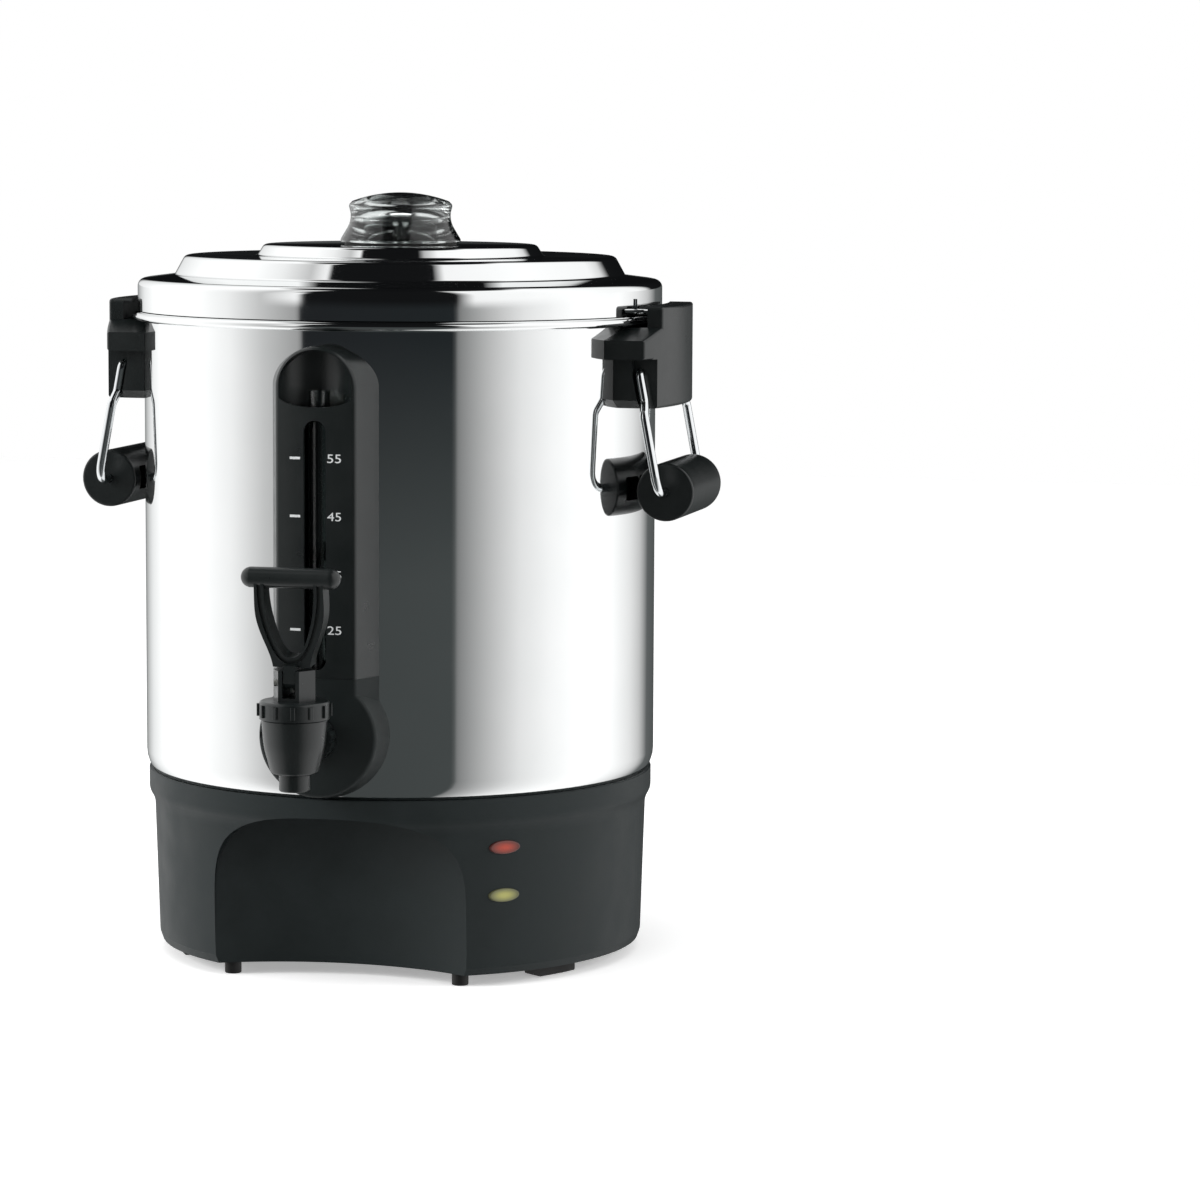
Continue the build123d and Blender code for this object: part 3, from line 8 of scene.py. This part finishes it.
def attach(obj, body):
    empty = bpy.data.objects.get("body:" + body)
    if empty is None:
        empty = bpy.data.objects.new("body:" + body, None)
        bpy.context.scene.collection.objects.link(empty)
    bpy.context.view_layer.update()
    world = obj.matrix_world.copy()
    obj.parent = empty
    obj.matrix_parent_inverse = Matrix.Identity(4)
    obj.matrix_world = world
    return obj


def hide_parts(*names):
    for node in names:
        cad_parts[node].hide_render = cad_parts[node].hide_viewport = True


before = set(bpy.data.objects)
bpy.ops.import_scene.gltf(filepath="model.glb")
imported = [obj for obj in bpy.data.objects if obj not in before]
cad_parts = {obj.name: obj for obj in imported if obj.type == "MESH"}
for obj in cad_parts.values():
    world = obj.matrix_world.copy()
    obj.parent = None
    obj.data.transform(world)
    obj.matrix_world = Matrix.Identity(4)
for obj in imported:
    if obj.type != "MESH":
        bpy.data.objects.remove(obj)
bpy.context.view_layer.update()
MM = 0.001

# ---------------------------------------------------------------- studio
# A pale sweep of paper under soft light, the way catalogue goods are shot. Long white panels
# stand to the left and right, and the room behind the camera is dark.
camera_azimuth = 16.486
camera_distance = 2193.2 * MM
camera_height = 421.3 * MM
camera_pitch, camera_yaw, camera_roll = 6.3055, 2.6722, 0.2784
focal_pixels = 4293.8
picture_side = 1200.0


def linear(hex_colour, alpha=1.0):
    """An sRGB hex colour as the linear values that Blender's sockets hold."""
    channels = [int(hex_colour[i:i + 2], 16) / 255 for i in (1, 3, 5)]
    return [c / 12.92 if c <= 0.04045 else ((c + 0.055) / 1.055) ** 2.4 for c in channels] + [alpha]


def add_node(tree, kind, inputs=None, **settings):
    """Add a node, set its properties, then fill its sockets with values or links."""
    made = tree.nodes.new(kind)
    for key, value in settings.items():
        setattr(made, key, value)
    for key, value in (inputs or {}).items():
        socket = made.inputs[key]
        if isinstance(value, bpy.types.NodeSocket):
            tree.links.new(value, socket)
        else:
            socket.default_value = value
    return made


def set_ramp(ramp, stops):
    """Give a colour ramp its stops, each a place and a hex grey or colour."""
    elements = ramp.color_ramp.elements
    while len(elements) > 1:
        elements.remove(elements[-1])
    elements[0].position = stops[0][0]
    elements[0].color = linear(stops[0][1])
    for place, colour in stops[1:]:
        elements.new(place).color = linear(colour)


camera = bpy.data.objects.new("camera", bpy.data.cameras.new("camera"))
bpy.context.scene.collection.objects.link(camera)
bpy.context.scene.camera = camera
camera.data.sensor_width = 36.0
camera.data.lens = camera.data.sensor_width * focal_pixels / picture_side
camera.data.clip_end = 50.0
turn = radians(camera_azimuth)
camera.location = (camera_distance * sin(turn), -camera_distance * cos(turn), camera_height)
camera.rotation_euler = (
    Matrix.Rotation(turn - radians(camera_yaw), 3, "Z")
    @ Matrix.Rotation(pi / 2 - radians(camera_pitch), 3, "X")
    @ Matrix.Rotation(radians(camera_roll), 3, "Z")
).to_euler()

# what polished steel mirrors, from behind the urn round by its left to behind it again: near the
# floor, level with the urn, above it, high up, and the dark ceiling
room_left = ((-81, "#ededed"), (-63, "#bfbfbf"))
room_right = ((25.5, "#7c7d7d"), (40, "#b6b6b6"), (55, "#dfdfdf"), (71, "#f4f4f4"),
              (84, "#ffffff"), (110, "#ffffff"), (127, "#e0e0e0"))
grey_start = ((-180, "#505353"), (-168, "#8c8e8e"), (-150, "#e2e3e3"), (-136, "#ffffff"),
              (-98, "#ffffff"), *room_left, (-45.5, "#979797"))
grey_end = ((138, "#bebebe"), (150, "#5a5d5d"), (180, "#3c3f3f"))
dark_start = ((-180, "#0c0d0e"), (-173, "#0e0f10"), (-166, "#d8d9d9"), (-136, "#ffffff"),
              (-98, "#ffffff"), *room_left)
dark_end = ((24, "#121314"), (32, "#f2f2f2"), (84, "#ffffff"), (127, "#f4f4f4"),
            (136, "#d6d6d6"), (143, "#131415"), (180, "#0c0d0e"))
room_low = (*grey_start, (-43.5, "#3d4040"), (23.5, "#414545"), *room_right, *grey_end)
room_level = (*grey_start, (-43.5, "#1f2123"), (23.5, "#202426"), *room_right, *grey_end)
room_above = (*dark_start, (-45.5, "#f2f2f2"), (-42, "#121314"), *dark_end)
room_steep = (*dark_start, (-52.5, "#f2f2f2"), (-49.5, "#121314"), *dark_end)
ceiling = ((0, "#101112"),)
panel_strength, fill_strength = 1.2, 0.55
world = bpy.data.worlds.new("photo_studio")
bpy.context.scene.world = world
world.use_nodes = True
tree = world.node_tree
tree.nodes.clear()
coords = add_node(tree, "ShaderNodeTexCoord")
turned = add_node(tree, "ShaderNodeVectorRotate", {"Vector": coords.outputs["Generated"],
                                                   "Angle": -turn}, rotation_type="Z_AXIS")
axes = add_node(tree, "ShaderNodeSeparateXYZ", {0: turned.outputs[0]})
ahead = add_node(tree, "ShaderNodeMath", {0: axes.outputs["Y"], 1: -1.0}, operation="MULTIPLY")
bearing = add_node(tree, "ShaderNodeMath", {0: axes.outputs["X"], 1: ahead.outputs[0]},
                   operation="ARCTAN2")
place = add_node(tree, "ShaderNodeMapRange", {0: bearing.outputs[0], 1: -pi, 2: pi})
room = None
for stops, fade_from, fade_to in ((room_low, -1.0, -1.0), (room_level, -0.16, -0.05),
                                  (room_above, 0.0, 0.03), (room_steep, 0.45, 0.6),
                                  (ceiling, 0.88, 0.92)):
    band = add_node(tree, "ShaderNodeValToRGB", {0: place.outputs[0]})
    set_ramp(band, [(angle / 360 + 0.5, colour) for angle, colour in stops])
    if room is None:
        room = band.outputs[0]
        continue
    share = add_node(tree, "ShaderNodeMapRange", {0: axes.outputs["Z"], 1: fade_from, 2: fade_to})
    room = add_node(tree, "ShaderNodeMix", {0: share.outputs[0], 6: room, 7: band.outputs[0]},
                    data_type="RGBA").outputs[2]
mirrored = add_node(tree, "ShaderNodeBackground", {0: room, 1: panel_strength})
soft = add_node(tree, "ShaderNodeBackground", {0: linear("#ffffff"), 1: fill_strength})
white = add_node(tree, "ShaderNodeBackground", {0: linear("#ffffff"), 1: 1.0})
rays = add_node(tree, "ShaderNodeLightPath")
matt = add_node(tree, "ShaderNodeMixShader", {0: rays.outputs["Is Diffuse Ray"],
                                              1: mirrored.outputs[0], 2: soft.outputs[0]})
seen = add_node(tree, "ShaderNodeMixShader", {0: rays.outputs["Is Camera Ray"],
                                              1: matt.outputs[0], 2: white.outputs[0]})
add_node(tree, "ShaderNodeOutputWorld", {0: seen.outputs[0]})

# the floor keeps the urn's shadow for the camera and lets the steel mirror the room
floor_side, floor_glow = 6.0, 0.35
mesh = bpy.data.meshes.new("paper_sweep")
half = floor_side / 2
mesh.from_pydata([(-half, -half, 0), (half, -half, 0), (half, half, 0), (-half, half, 0)], [],
                 [(0, 1, 2, 3)])
floor = bpy.data.objects.new("paper_sweep", mesh)
bpy.context.scene.collection.objects.link(floor)
paper = bpy.data.materials.new("white_studio_paper")
paper.use_nodes = True
tree = paper.node_tree
tree.nodes.clear()
rays = add_node(tree, "ShaderNodeLightPath")
matt = add_node(tree, "ShaderNodeBsdfDiffuse", {0: linear("#fbfbfb")})
lift = add_node(tree, "ShaderNodeEmission", {0: linear("#ffffff"), 1: floor_glow})
lit = add_node(tree, "ShaderNodeAddShader", {0: matt.outputs[0], 1: lift.outputs[0]})
camera_side = add_node(tree, "ShaderNodeMixShader", {0: rays.outputs["Is Camera Ray"],
                                                     1: matt.outputs[0], 2: lit.outputs[0]})
gone = add_node(tree, "ShaderNodeBsdfTransparent")
mirror_side = add_node(tree, "ShaderNodeMixShader", {0: rays.outputs["Is Glossy Ray"],
                                                     1: camera_side.outputs[0], 2: gone.outputs[0]})
add_node(tree, "ShaderNodeOutputMaterial", {0: mirror_side.outputs[0]})
mesh.materials.append(paper)


urn_middle = Vector((0, 0, 0.2))


def soft_box(name, azimuth, height, distance, size, power):
    """A square lamp on a stand, aimed at the middle of the urn."""
    lamp = bpy.data.objects.new(name, bpy.data.lights.new(name, "AREA"))
    bpy.context.scene.collection.objects.link(lamp)
    lamp.data.size = size
    lamp.data.energy = power
    lamp.location = (distance * sin(radians(azimuth)), -distance * cos(radians(azimuth)), height)
    lamp.rotation_euler = (urn_middle - lamp.location).to_track_quat("-Z", "Y").to_euler()
    lamp.visible_glossy = False
    return lamp


soft_box("soft_box_left", camera_azimuth - 76, 0.8, 1.8, 0.9, 28.0)
soft_box("soft_box_right", camera_azimuth + 72, 0.8, 1.8, 0.9, 15.0)
soft_box("soft_box_top", camera_azimuth, 2.2, 0.4, 1.2, 12.0)
bpy.context.scene.view_settings.view_transform = "Standard"


# ---------------------------------------------------------------- tank
# The urn's tank: type 304 stainless sheet, 0.8 mm, deep drawn to a pot with a rolled rim and
# buffed to a mirror. Buffing leaves a faint waviness and a roughness that drifts.
noise_low, noise_high = 0.3, 0.7


def surface(name, colours, roughness, grit_mm, depth_mm, patch_mm=30.0, **sockets):
    """A solid finish: two close colours in patches, drifting roughness and a fine relief."""
    made = bpy.data.materials.new(name)
    made.use_nodes = True
    tree = made.node_tree
    shader = tree.nodes["Principled BSDF"]
    for key, value in sockets.items():
        shader.inputs[key.replace("_", " ")].default_value = value
    coords = add_node(tree, "ShaderNodeTexCoord")
    patches = add_node(tree, "ShaderNodeTexNoise", {
        "Vector": coords.outputs["Object"], "Scale": 1 / (patch_mm * MM), "Detail": 3.0,
    })
    grit = add_node(tree, "ShaderNodeTexNoise", {
        "Vector": coords.outputs["Object"], "Scale": 1 / (grit_mm * MM), "Detail": 2.0,
    })
    blend = add_node(tree, "ShaderNodeMix", {
        0: patches.outputs[0], 6: linear(colours[0]), 7: linear(colours[1]),
    }, data_type="RGBA")
    dull = add_node(tree, "ShaderNodeMapRange", {
        0: patches.outputs[0], 1: noise_low, 2: noise_high, 3: roughness[0], 4: roughness[1],
    })
    relief = add_node(tree, "ShaderNodeBump", {
        "Height": grit.outputs[0], "Distance": depth_mm * MM, "Strength": 1.0,
    })
    tree.links.new(blend.outputs[2], shader.inputs["Base Color"])
    tree.links.new(dull.outputs[0], shader.inputs["Roughness"])
    tree.links.new(relief.outputs[0], shader.inputs["Normal"])
    return made


def bend(corners, radii, steps=8):
    """An open outline whose inner corners are rounded, each to its own radius."""
    outline = [Vector(corners[0])]
    for before, corner, after, radius in zip(corners, corners[1:], corners[2:], radii):
        corner = Vector(corner)
        back = (Vector(before) - corner).normalized()
        on = (Vector(after) - corner).normalized()
        half = back.angle(on) / 2
        middle = corner + (back + on).normalized() * radius / sin(half)
        arm = corner + back * radius / tan(half) - middle
        sweep = (pi - 2 * half) * (1 if back.x * on.y - back.y * on.x < 0 else -1)
        for step in range(steps + 1):
            outline.append(middle + Matrix.Rotation(sweep * step / steps, 2) @ arm)
    outline.append(Vector(corners[-1]))
    return outline


def oval(middle, half_w, half_h, start, end, steps=24):
    """Part of an ellipse, between two angles in degrees."""
    angles = [radians(start + (end - start) * step / steps) for step in range(steps + 1)]
    return [Vector((middle[0] + half_w * cos(a), middle[1] + half_h * sin(a))) for a in angles]


def thicken(outline, gauge):
    """A closed outline of sheet: the given line and its twin, one gauge to its right."""
    twin = []
    for i, point in enumerate(outline):
        along = outline[min(i + 1, len(outline) - 1)] - outline[max(i - 1, 0)]
        twin.append(point + Vector((along.y, -along.x)).normalized() * gauge)
    return list(outline) + twin[::-1]


def lathe(name, outline, segments=288, sharp=40.0):
    """Spin a closed outline of radii and heights in mm round the urn's axis."""
    mesh = bpy.data.meshes.new(name)
    ring = len(outline)
    points = [
        (p.x * MM * cos(a), p.x * MM * sin(a), p.y * MM)
        for a in (2 * pi * s / segments for s in range(segments)) for p in outline
    ]
    faces = [
        (s * ring + i, s * ring + (i + 1) % ring,
         (s + 1) % segments * ring + (i + 1) % ring, (s + 1) % segments * ring + i)
        for s in range(segments) for i in range(ring)
    ]
    mesh.from_pydata(points, [], faces)
    shell = bmesh.new()
    shell.from_mesh(mesh)
    bmesh.ops.remove_doubles(shell, verts=shell.verts, dist=1e-6)
    bmesh.ops.recalc_face_normals(shell, faces=shell.faces)
    shell.to_mesh(mesh)
    shell.free()
    mesh.shade_smooth()
    mesh.set_sharp_from_angle(angle=radians(sharp))
    return add_object(name, mesh)


def add_object(name, mesh):
    """Put a mesh in the scene as a piece of its own."""
    piece = bpy.data.objects.new(name, mesh)
    bpy.context.scene.collection.objects.link(piece)
    return piece


def fit(piece, body, material, *nodes):
    """Give a piece its finish and the body that it moves with; it may stand for CAD nodes."""
    piece.data.materials.clear()
    piece.data.materials.append(material)
    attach(piece, body)
    if nodes:
        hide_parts(*nodes)
    return piece


def dress(material, *names):
    """Put a finish on pieces that come from the frame."""
    for name in names:
        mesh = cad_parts[name].data
        mesh.materials.clear()
        mesh.materials.append(material)


tank_r, tank_gauge = 130.0, 0.8
floor_z, well_z, wall_top_z = 88.0, 83.0, 323.3
curl_middle, curl_w, curl_h, curl_start = (132.6, 324.9), 3.4, 2.4, -139
tank_outside = bend(
    ((0, well_z), (24.0, well_z), (27.0, floor_z), (tank_r, floor_z), (tank_r, wall_top_z)),
    (2.0, 2.0, 16.0),
)
rolled_rim = oval(curl_middle, curl_w, curl_h, curl_start, 180, 40)
tank_inside = bend(
    ((tank_r - tank_gauge, curl_middle[1]), (tank_r - tank_gauge, floor_z + tank_gauge),
     (26.7, floor_z + tank_gauge), (23.8, well_z + tank_gauge), (0, well_z + tank_gauge)),
    (15.2, 2.4, 1.6),
)
mirror_steel = surface("stainless_304_mirror_buffed", ("#e9ebeb", "#f0f1f1"), (0.025, 0.06),
                       60.0, 0.004, Metallic=1.0)
tank = lathe("steel_tank", tank_outside + rolled_rim + tank_inside[1:])
fit(tank, "urn", mirror_steel, "vessel")

# ---------------------------------------------------------------- base
# Moulded polypropylene skirt that the tank stands in, with a spark-eroded texture, a plate
# screwed on below and rubber feet pressed in.
base_plastic = surface("polypropylene_black_textured", ("#1c2121", "#222829"), (0.42, 0.52), 0.9,
                       0.03, patch_mm=20.0, IOR=1.49, Specular_IOR_Level=0.22)
dress(base_plastic, "base_housing", "base_plate")
rubber = surface("rubber_black_moulded", ("#111111", "#1a1a19"), (0.6, 0.75), 1.0, 0.03)
dress(rubber, "pad_feet", "peg_feet")
zinc = surface("steel_zinc_plated", ("#9a9c98", "#b9bab4"), (0.3, 0.45), 2.0, 0.01, Metallic=1.0)
dress(zinc, "base_screws")

# ---------------------------------------------------------------- heater
# Under the tank's floor: a cast aluminium plate with a sheathed element, clamped by one bolt,
# two thermostats and a thermal fuse.
aluminium = surface("aluminium_die_cast", ("#a7a9aa", "#bcbdbd"), (0.4, 0.55), 2.0, 0.03,
                    Metallic=1.0)
dress(aluminium, "heater_plate", "boil_thermostat", "warm_thermostat")
dress(zinc, "heater_bolt", "heater_nut", "heater_clamp", "heating_element", "thermal_fuse")

# ---------------------------------------------------------------- lamps
# Two oval polycarbonate lenses snapped into the base, red above and yellow below, each lit from
# behind by a small neon lamp.
lens_reach_mm, lens_squash, lens_glow = 8.6, 2.4, 0.35


def lit_lens(name, node, stops):
    """A tinted lens, brightest in the middle, where the lamp stands behind it."""
    made = surface(name, ("#101010", "#141414"), (0.15, 0.25), 1.0, 0.02, patch_mm=4.0, IOR=1.58)
    corners = [Vector(corner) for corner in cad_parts[node].bound_box]
    middle = sum(corners, Vector()) / len(corners)
    tree = made.node_tree
    shader = tree.nodes["Principled BSDF"]
    coords = add_node(tree, "ShaderNodeTexCoord")
    apart = add_node(tree, "ShaderNodeVectorMath", {0: coords.outputs["Object"], 1: middle},
                     operation="SUBTRACT")
    squashed = add_node(tree, "ShaderNodeVectorMath",
                        {0: apart.outputs[0], 1: (1.0, 1.0, lens_squash)}, operation="MULTIPLY")
    far = add_node(tree, "ShaderNodeVectorMath", {0: squashed.outputs[0]}, operation="LENGTH")
    share = add_node(tree, "ShaderNodeMapRange",
                     {0: far.outputs["Value"], 1: 0.0, 2: lens_reach_mm * MM})
    tint = add_node(tree, "ShaderNodeValToRGB", {0: share.outputs[0]})
    set_ramp(tint, stops)
    tree.links.new(tint.outputs[0], shader.inputs["Base Color"])
    tree.links.new(tint.outputs[0], shader.inputs["Emission Color"])
    shader.inputs["Emission Strength"].default_value = lens_glow
    dress(made, node)


lit_lens("polycarbonate_red_moulded", "heating_lens",
         ((0.0, "#9c3a29"), (0.35, "#8e3324"), (0.72, "#652a22"), (1.0, "#331a18")))
lit_lens("polycarbonate_yellow_moulded", "warm_lens",
         ((0.0, "#9a9856"), (0.4, "#8b894e"), (0.72, "#6a6a43"), (1.0, "#3a3b2a")))
glass = surface("glass_clear_pressed", ("#d3d8d7", "#dadedd"), (0.08, 0.12), 25.0, 0.01,
                IOR=1.5, Transmission_Weight=1.0)
dress(glass, "lamp_bodies")

# ---------------------------------------------------------------- power inlet
# The socket at the back that the separate cord plugs into: a nylon shell screwed to the base,
# with three brass pins.
nylon = surface("nylon_black_moulded", ("#111515", "#181c1c"), (0.27, 0.35), 0.7, 0.02,
                patch_mm=14.0, IOR=1.53)
dress(nylon, "power_inlet")
brass = surface("brass_turned", ("#b08d45", "#c7a55c"), (0.2, 0.32), 1.5, 0.008, Metallic=1.0)
dress(brass, "inlet_pins")
dress(zinc, "inlet_screws")

# ---------------------------------------------------------------- level gauge
# A moulded nylon cover over the sight tube, open at the top as a scoop, on a lower cover with a
# spark-eroded texture. The window shows the borosilicate tube, and the scale is hot-stamped on
# the cover's face in white foil.
dress(nylon, "gauge_cover")
eroded_nylon = surface("nylon_black_spark_eroded", ("#131818", "#1a1f1f"), (0.45, 0.55), 0.8, 0.03,
                       patch_mm=14.0, IOR=1.53, Specular_IOR_Level=0.25)
dress(eroded_nylon, "tap_boss", "gauge_tee")
drawn_glass = surface("borosilicate_tube_drawn", ("#dfe4e3", "#e8eceb"), (0.0, 0.02), 18.0, 0.006,
                      IOR=1.47, Transmission_Weight=1.0)
dress(drawn_glass, "gauge_tube")
silicone = surface("silicone_translucent_moulded", ("#c8c7c0", "#d8d7d0"), (0.45, 0.6), 1.5, 0.02)
dress(silicone, "tube_seal", "washer_outer", "washer_inner")

face_r = 145.4
foil_t = 0.03
foil = surface("foil_white_hot_stamped", ("#b3b6b7", "#cccece"), (0.4, 0.5), 0.3, 0.005,
               patch_mm=0.9)


def stamped(name, flat):
    """Wrap a flat mesh, drawn in mm in X and Y, round the cover's face."""
    for vertex in flat.vertices:
        x, z, lift = vertex.co
        radius = face_r + foil_t / 2 + lift
        vertex.co = (x * MM, -sqrt(radius ** 2 - x ** 2) * MM, z * MM)
    piece = add_object(name, flat)
    return fit(piece, "urn", foil)


def slab(left, right, low, high, depth, columns=6):
    """A thin flat block in mm, cut into columns so that it can follow a curve."""
    points = [(left + (right - left) * i / columns, y, z)
              for i in range(columns + 1) for y in (low, high) for z in (0, depth)]
    ring = (0, 1, 3, 2)
    faces = [(4 * i + there, 4 * i + here, 4 * i + here + 4, 4 * i + there + 4)
             for i in range(columns) for here, there in zip(ring, ring[1:] + ring[:1])]
    faces += [ring, tuple(4 * columns + corner for corner in reversed(ring))]
    mesh = bpy.data.meshes.new("slab")
    mesh.from_pydata(points, [], faces)
    return mesh


tick_left, tick_right, tick_half_h = -12.6, -7.3, 0.6
digit_left, digit_right, digit_h = 6.3, 13.1, 4.1
for cups, mark_z in ((55, 262.3), (45, 234.4), (35, 206.3), (25, 179.6)):
    stamped(f"scale_tick_{cups}",
            slab(tick_left, tick_right, mark_z - tick_half_h, mark_z + tick_half_h, foil_t))
    writing = bpy.data.curves.new(f"scale_number_{cups}", "FONT")
    writing.body = str(cups)
    writing.extrude = 0.01
    carrier = bpy.data.objects.new("carrier", writing)
    bpy.context.scene.collection.objects.link(carrier)
    bpy.context.view_layer.update()
    flat = bpy.data.meshes.new_from_object(carrier.evaluated_get(
        bpy.context.evaluated_depsgraph_get()))
    bpy.data.objects.remove(carrier)
    low = Vector([min(v.co[i] for v in flat.vertices) for i in range(3)])
    size = Vector([max(v.co[i] for v in flat.vertices) for i in range(3)]) - low
    for vertex in flat.vertices:
        vertex.co = (
            digit_left + (vertex.co.x - low.x) / size.x * (digit_right - digit_left),
            mark_z + ((vertex.co.y - low.y) / size.y - 0.5) * digit_h,
            (vertex.co.z - low.z) / size.z * foil_t,
        )
    stamped(f"scale_number_{cups}", flat)

# ---------------------------------------------------------------- tap
# Moulded nylon self-closing tap: the lever turns on a steel pin in the slotted neck and lifts the
# valve against a spring. A ribbed ring and a nut inside the tank hold the shank.
dress(nylon, "tap_body", "tap_spout", "tap_bonnet", "tap_lever", "shank_ring", "shank_nut")
dress(zinc, "lever_pin", "lift_pin", "valve_stem", "valve_spring")
dress(silicone, "seat_cup")

# ---------------------------------------------------------------- handles
# On each side a nylon bracket screwed through the tank's wall, a bail of 4.5 mm chromed steel
# wire that swings in it, and a cored nylon grip that turns on the wire.
dress(nylon, "bracket_right", "bracket_left", "grip_right", "grip_left")
dress(zinc, "bracket_screws_right", "bracket_screws_left")
chrome = surface("steel_wire_chromed", ("#dfe2e4", "#e9ebec"), (0.04, 0.08), 3.0, 0.003,
                 Metallic=1.0)
dress(chrome, "bail_right", "bail_left")

# ---------------------------------------------------------------- lid
# Pressed from the same mirror sheet in three steps, with an oval dip for the steam holes, a
# spot-welded skirt and two lugs that turn under the brackets.
lid_line = bend(
    ((133.2, 327.6), (133.2, 343.2), (114.5, 345.6), (109.2, 355.3), (72.7, 355.3),
     (69.2, 360.9), (23.3, 360.9)),
    (4.0, 2.0, 3.2, 1.6, 3.0),
)
vent_ring_r, vent_angle, vent_half_l, vent_half_w, vent_dip = 90.95, 155.0, 17.0, 7.0, 1.0
vent_pitch, vent_hole_r, vent_edge = 5.5, 1.3, 0.6
ring_step, sheet_low_z, cut_low_z, cut_high_z = 0.9, 354.0, 350.0, 358.0


def add_rings(outline, radius, step):
    """Put more points on the stretch of an outline that crosses a radius."""
    fine = []
    for here, there in zip(outline, outline[1:]):
        fine.append(here)
        if here.x > radius > there.x:
            count = round((here.x - there.x) / step)
            fine += [here.lerp(there, i / count) for i in range(1, count)]
    return fine + [outline[-1]]


lid_line = add_rings(lid_line, vent_ring_r, ring_step)
lid = lathe("steel_lid", thicken(lid_line[::-1], tank_gauge))


def carve(piece, cutter):
    """Cut one closed shape out of another and keep the result as a plain mesh."""
    bite = piece.modifiers.new("bite", "BOOLEAN")
    bite.object = cutter
    bite.solver = "EXACT"
    bpy.context.view_layer.update()
    carved = bpy.data.meshes.new_from_object(
        piece.evaluated_get(bpy.context.evaluated_depsgraph_get()))
    piece.modifiers.clear()
    piece.data = carved
    bpy.data.objects.remove(cutter)


def pegs(name, places, radius, low, high, segments=24):
    """Upright round pegs in mm, as one closed mesh."""
    shape = bmesh.new()
    for x, y in places:
        made = bmesh.ops.create_cone(
            shape, cap_ends=True, segments=segments, radius1=radius * MM, radius2=radius * MM,
            depth=(high - low) * MM)["verts"]
        bmesh.ops.translate(shape, verts=made, vec=(x * MM, y * MM, (low + high) / 2 * MM))
    mesh = bpy.data.meshes.new(name)
    shape.to_mesh(mesh)
    shape.free()
    return add_object(name, mesh)


along_vent = Vector((cos(radians(vent_angle)), sin(radians(vent_angle))))
vent_middle = Vector((vent_ring_r * sin(radians(vent_angle)),
                      -vent_ring_r * cos(radians(vent_angle))))
for vertex in lid.data.vertices:
    # an oval dip is pressed into the flat, smooth at its edge and level in its middle
    place = Vector(vertex.co[:2]) / MM - vent_middle
    across = place.dot(along_vent) / vent_half_l, place.cross(along_vent) / vent_half_w
    share = min(1.0, (1 - min(1.0, across[0] ** 2 + across[1] ** 2)) / vent_edge)
    if vertex.co.z > sheet_low_z * MM:
        vertex.co.z -= vent_dip * MM * share ** 2 * (3 - 2 * share)
carve(lid, pegs("vent_cutter", [vent_middle + along_vent * vent_pitch * i for i in range(-2, 3)],
                vent_hole_r, cut_low_z, cut_high_z))
lid.data.shade_smooth()
lid.data.set_sharp_from_angle(angle=radians(40))
fit(lid, "lid", mirror_steel, "lid_shell")
dress(mirror_steel, "lid_skirt", "lid_lugs")

# ---------------------------------------------------------------- knob
# A hollow dome of pressed clear glass that shows the coffee spurt. It sits on a rubber gasket
# and a nylon ring holds it from below.
knob_low_z, knob_seat_z, knob_top_z = 354.5, 361.9, 387.1
knob_line = bend(
    ((19.6, knob_low_z), (22.8, knob_low_z), (22.8, knob_seat_z), (30.5, knob_seat_z),
     (30.5, 363.4), (24.3, 373.8), (26.5, 380.7), (24.5, 382.7)),
    (0.5, 0.5, 0.5, 1.6, 12.0, 2.0),
)
dome_r, dome_start = 70.4, 69.64
knob_dome = oval((0, knob_top_z - dome_r), dome_r, dome_r, dome_start, 90)
knob_hollow = bend(((0, 382.6), (14.0, 381.0), (19.6, 374.0), (19.6, knob_low_z)), (14.0, 6.0))
knob = lathe("glass_knob", knob_line + knob_dome[1:] + knob_hollow[:-1], segments=160, sharp=60.0)
fit(knob, "lid", glass, "lid_knob")
dress(rubber, "knob_gasket")
dress(nylon, "knob_ring")

# ---------------------------------------------------------------- brewing set
# The basket for the ground coffee, coated aluminium, on a hub that rides on the steel pump stem.
# At the stem's foot a loose disc works as the pump's valve.
coating = surface("non_stick_coating_sprayed", ("#151618", "#1e2022"), (0.3, 0.42), 1.1, 0.03,
                  patch_mm=8.0)
dress(coating, "basket")
satin_steel = surface("stainless_304_tube_drawn", ("#c9cbca", "#dcdddc"), (0.16, 0.28),
                      1.2, 0.01, Metallic=1.0)
dress(satin_steel, "pump_stem", "pump_dish", "pump_valve", "stem_collar", "basket_hub")
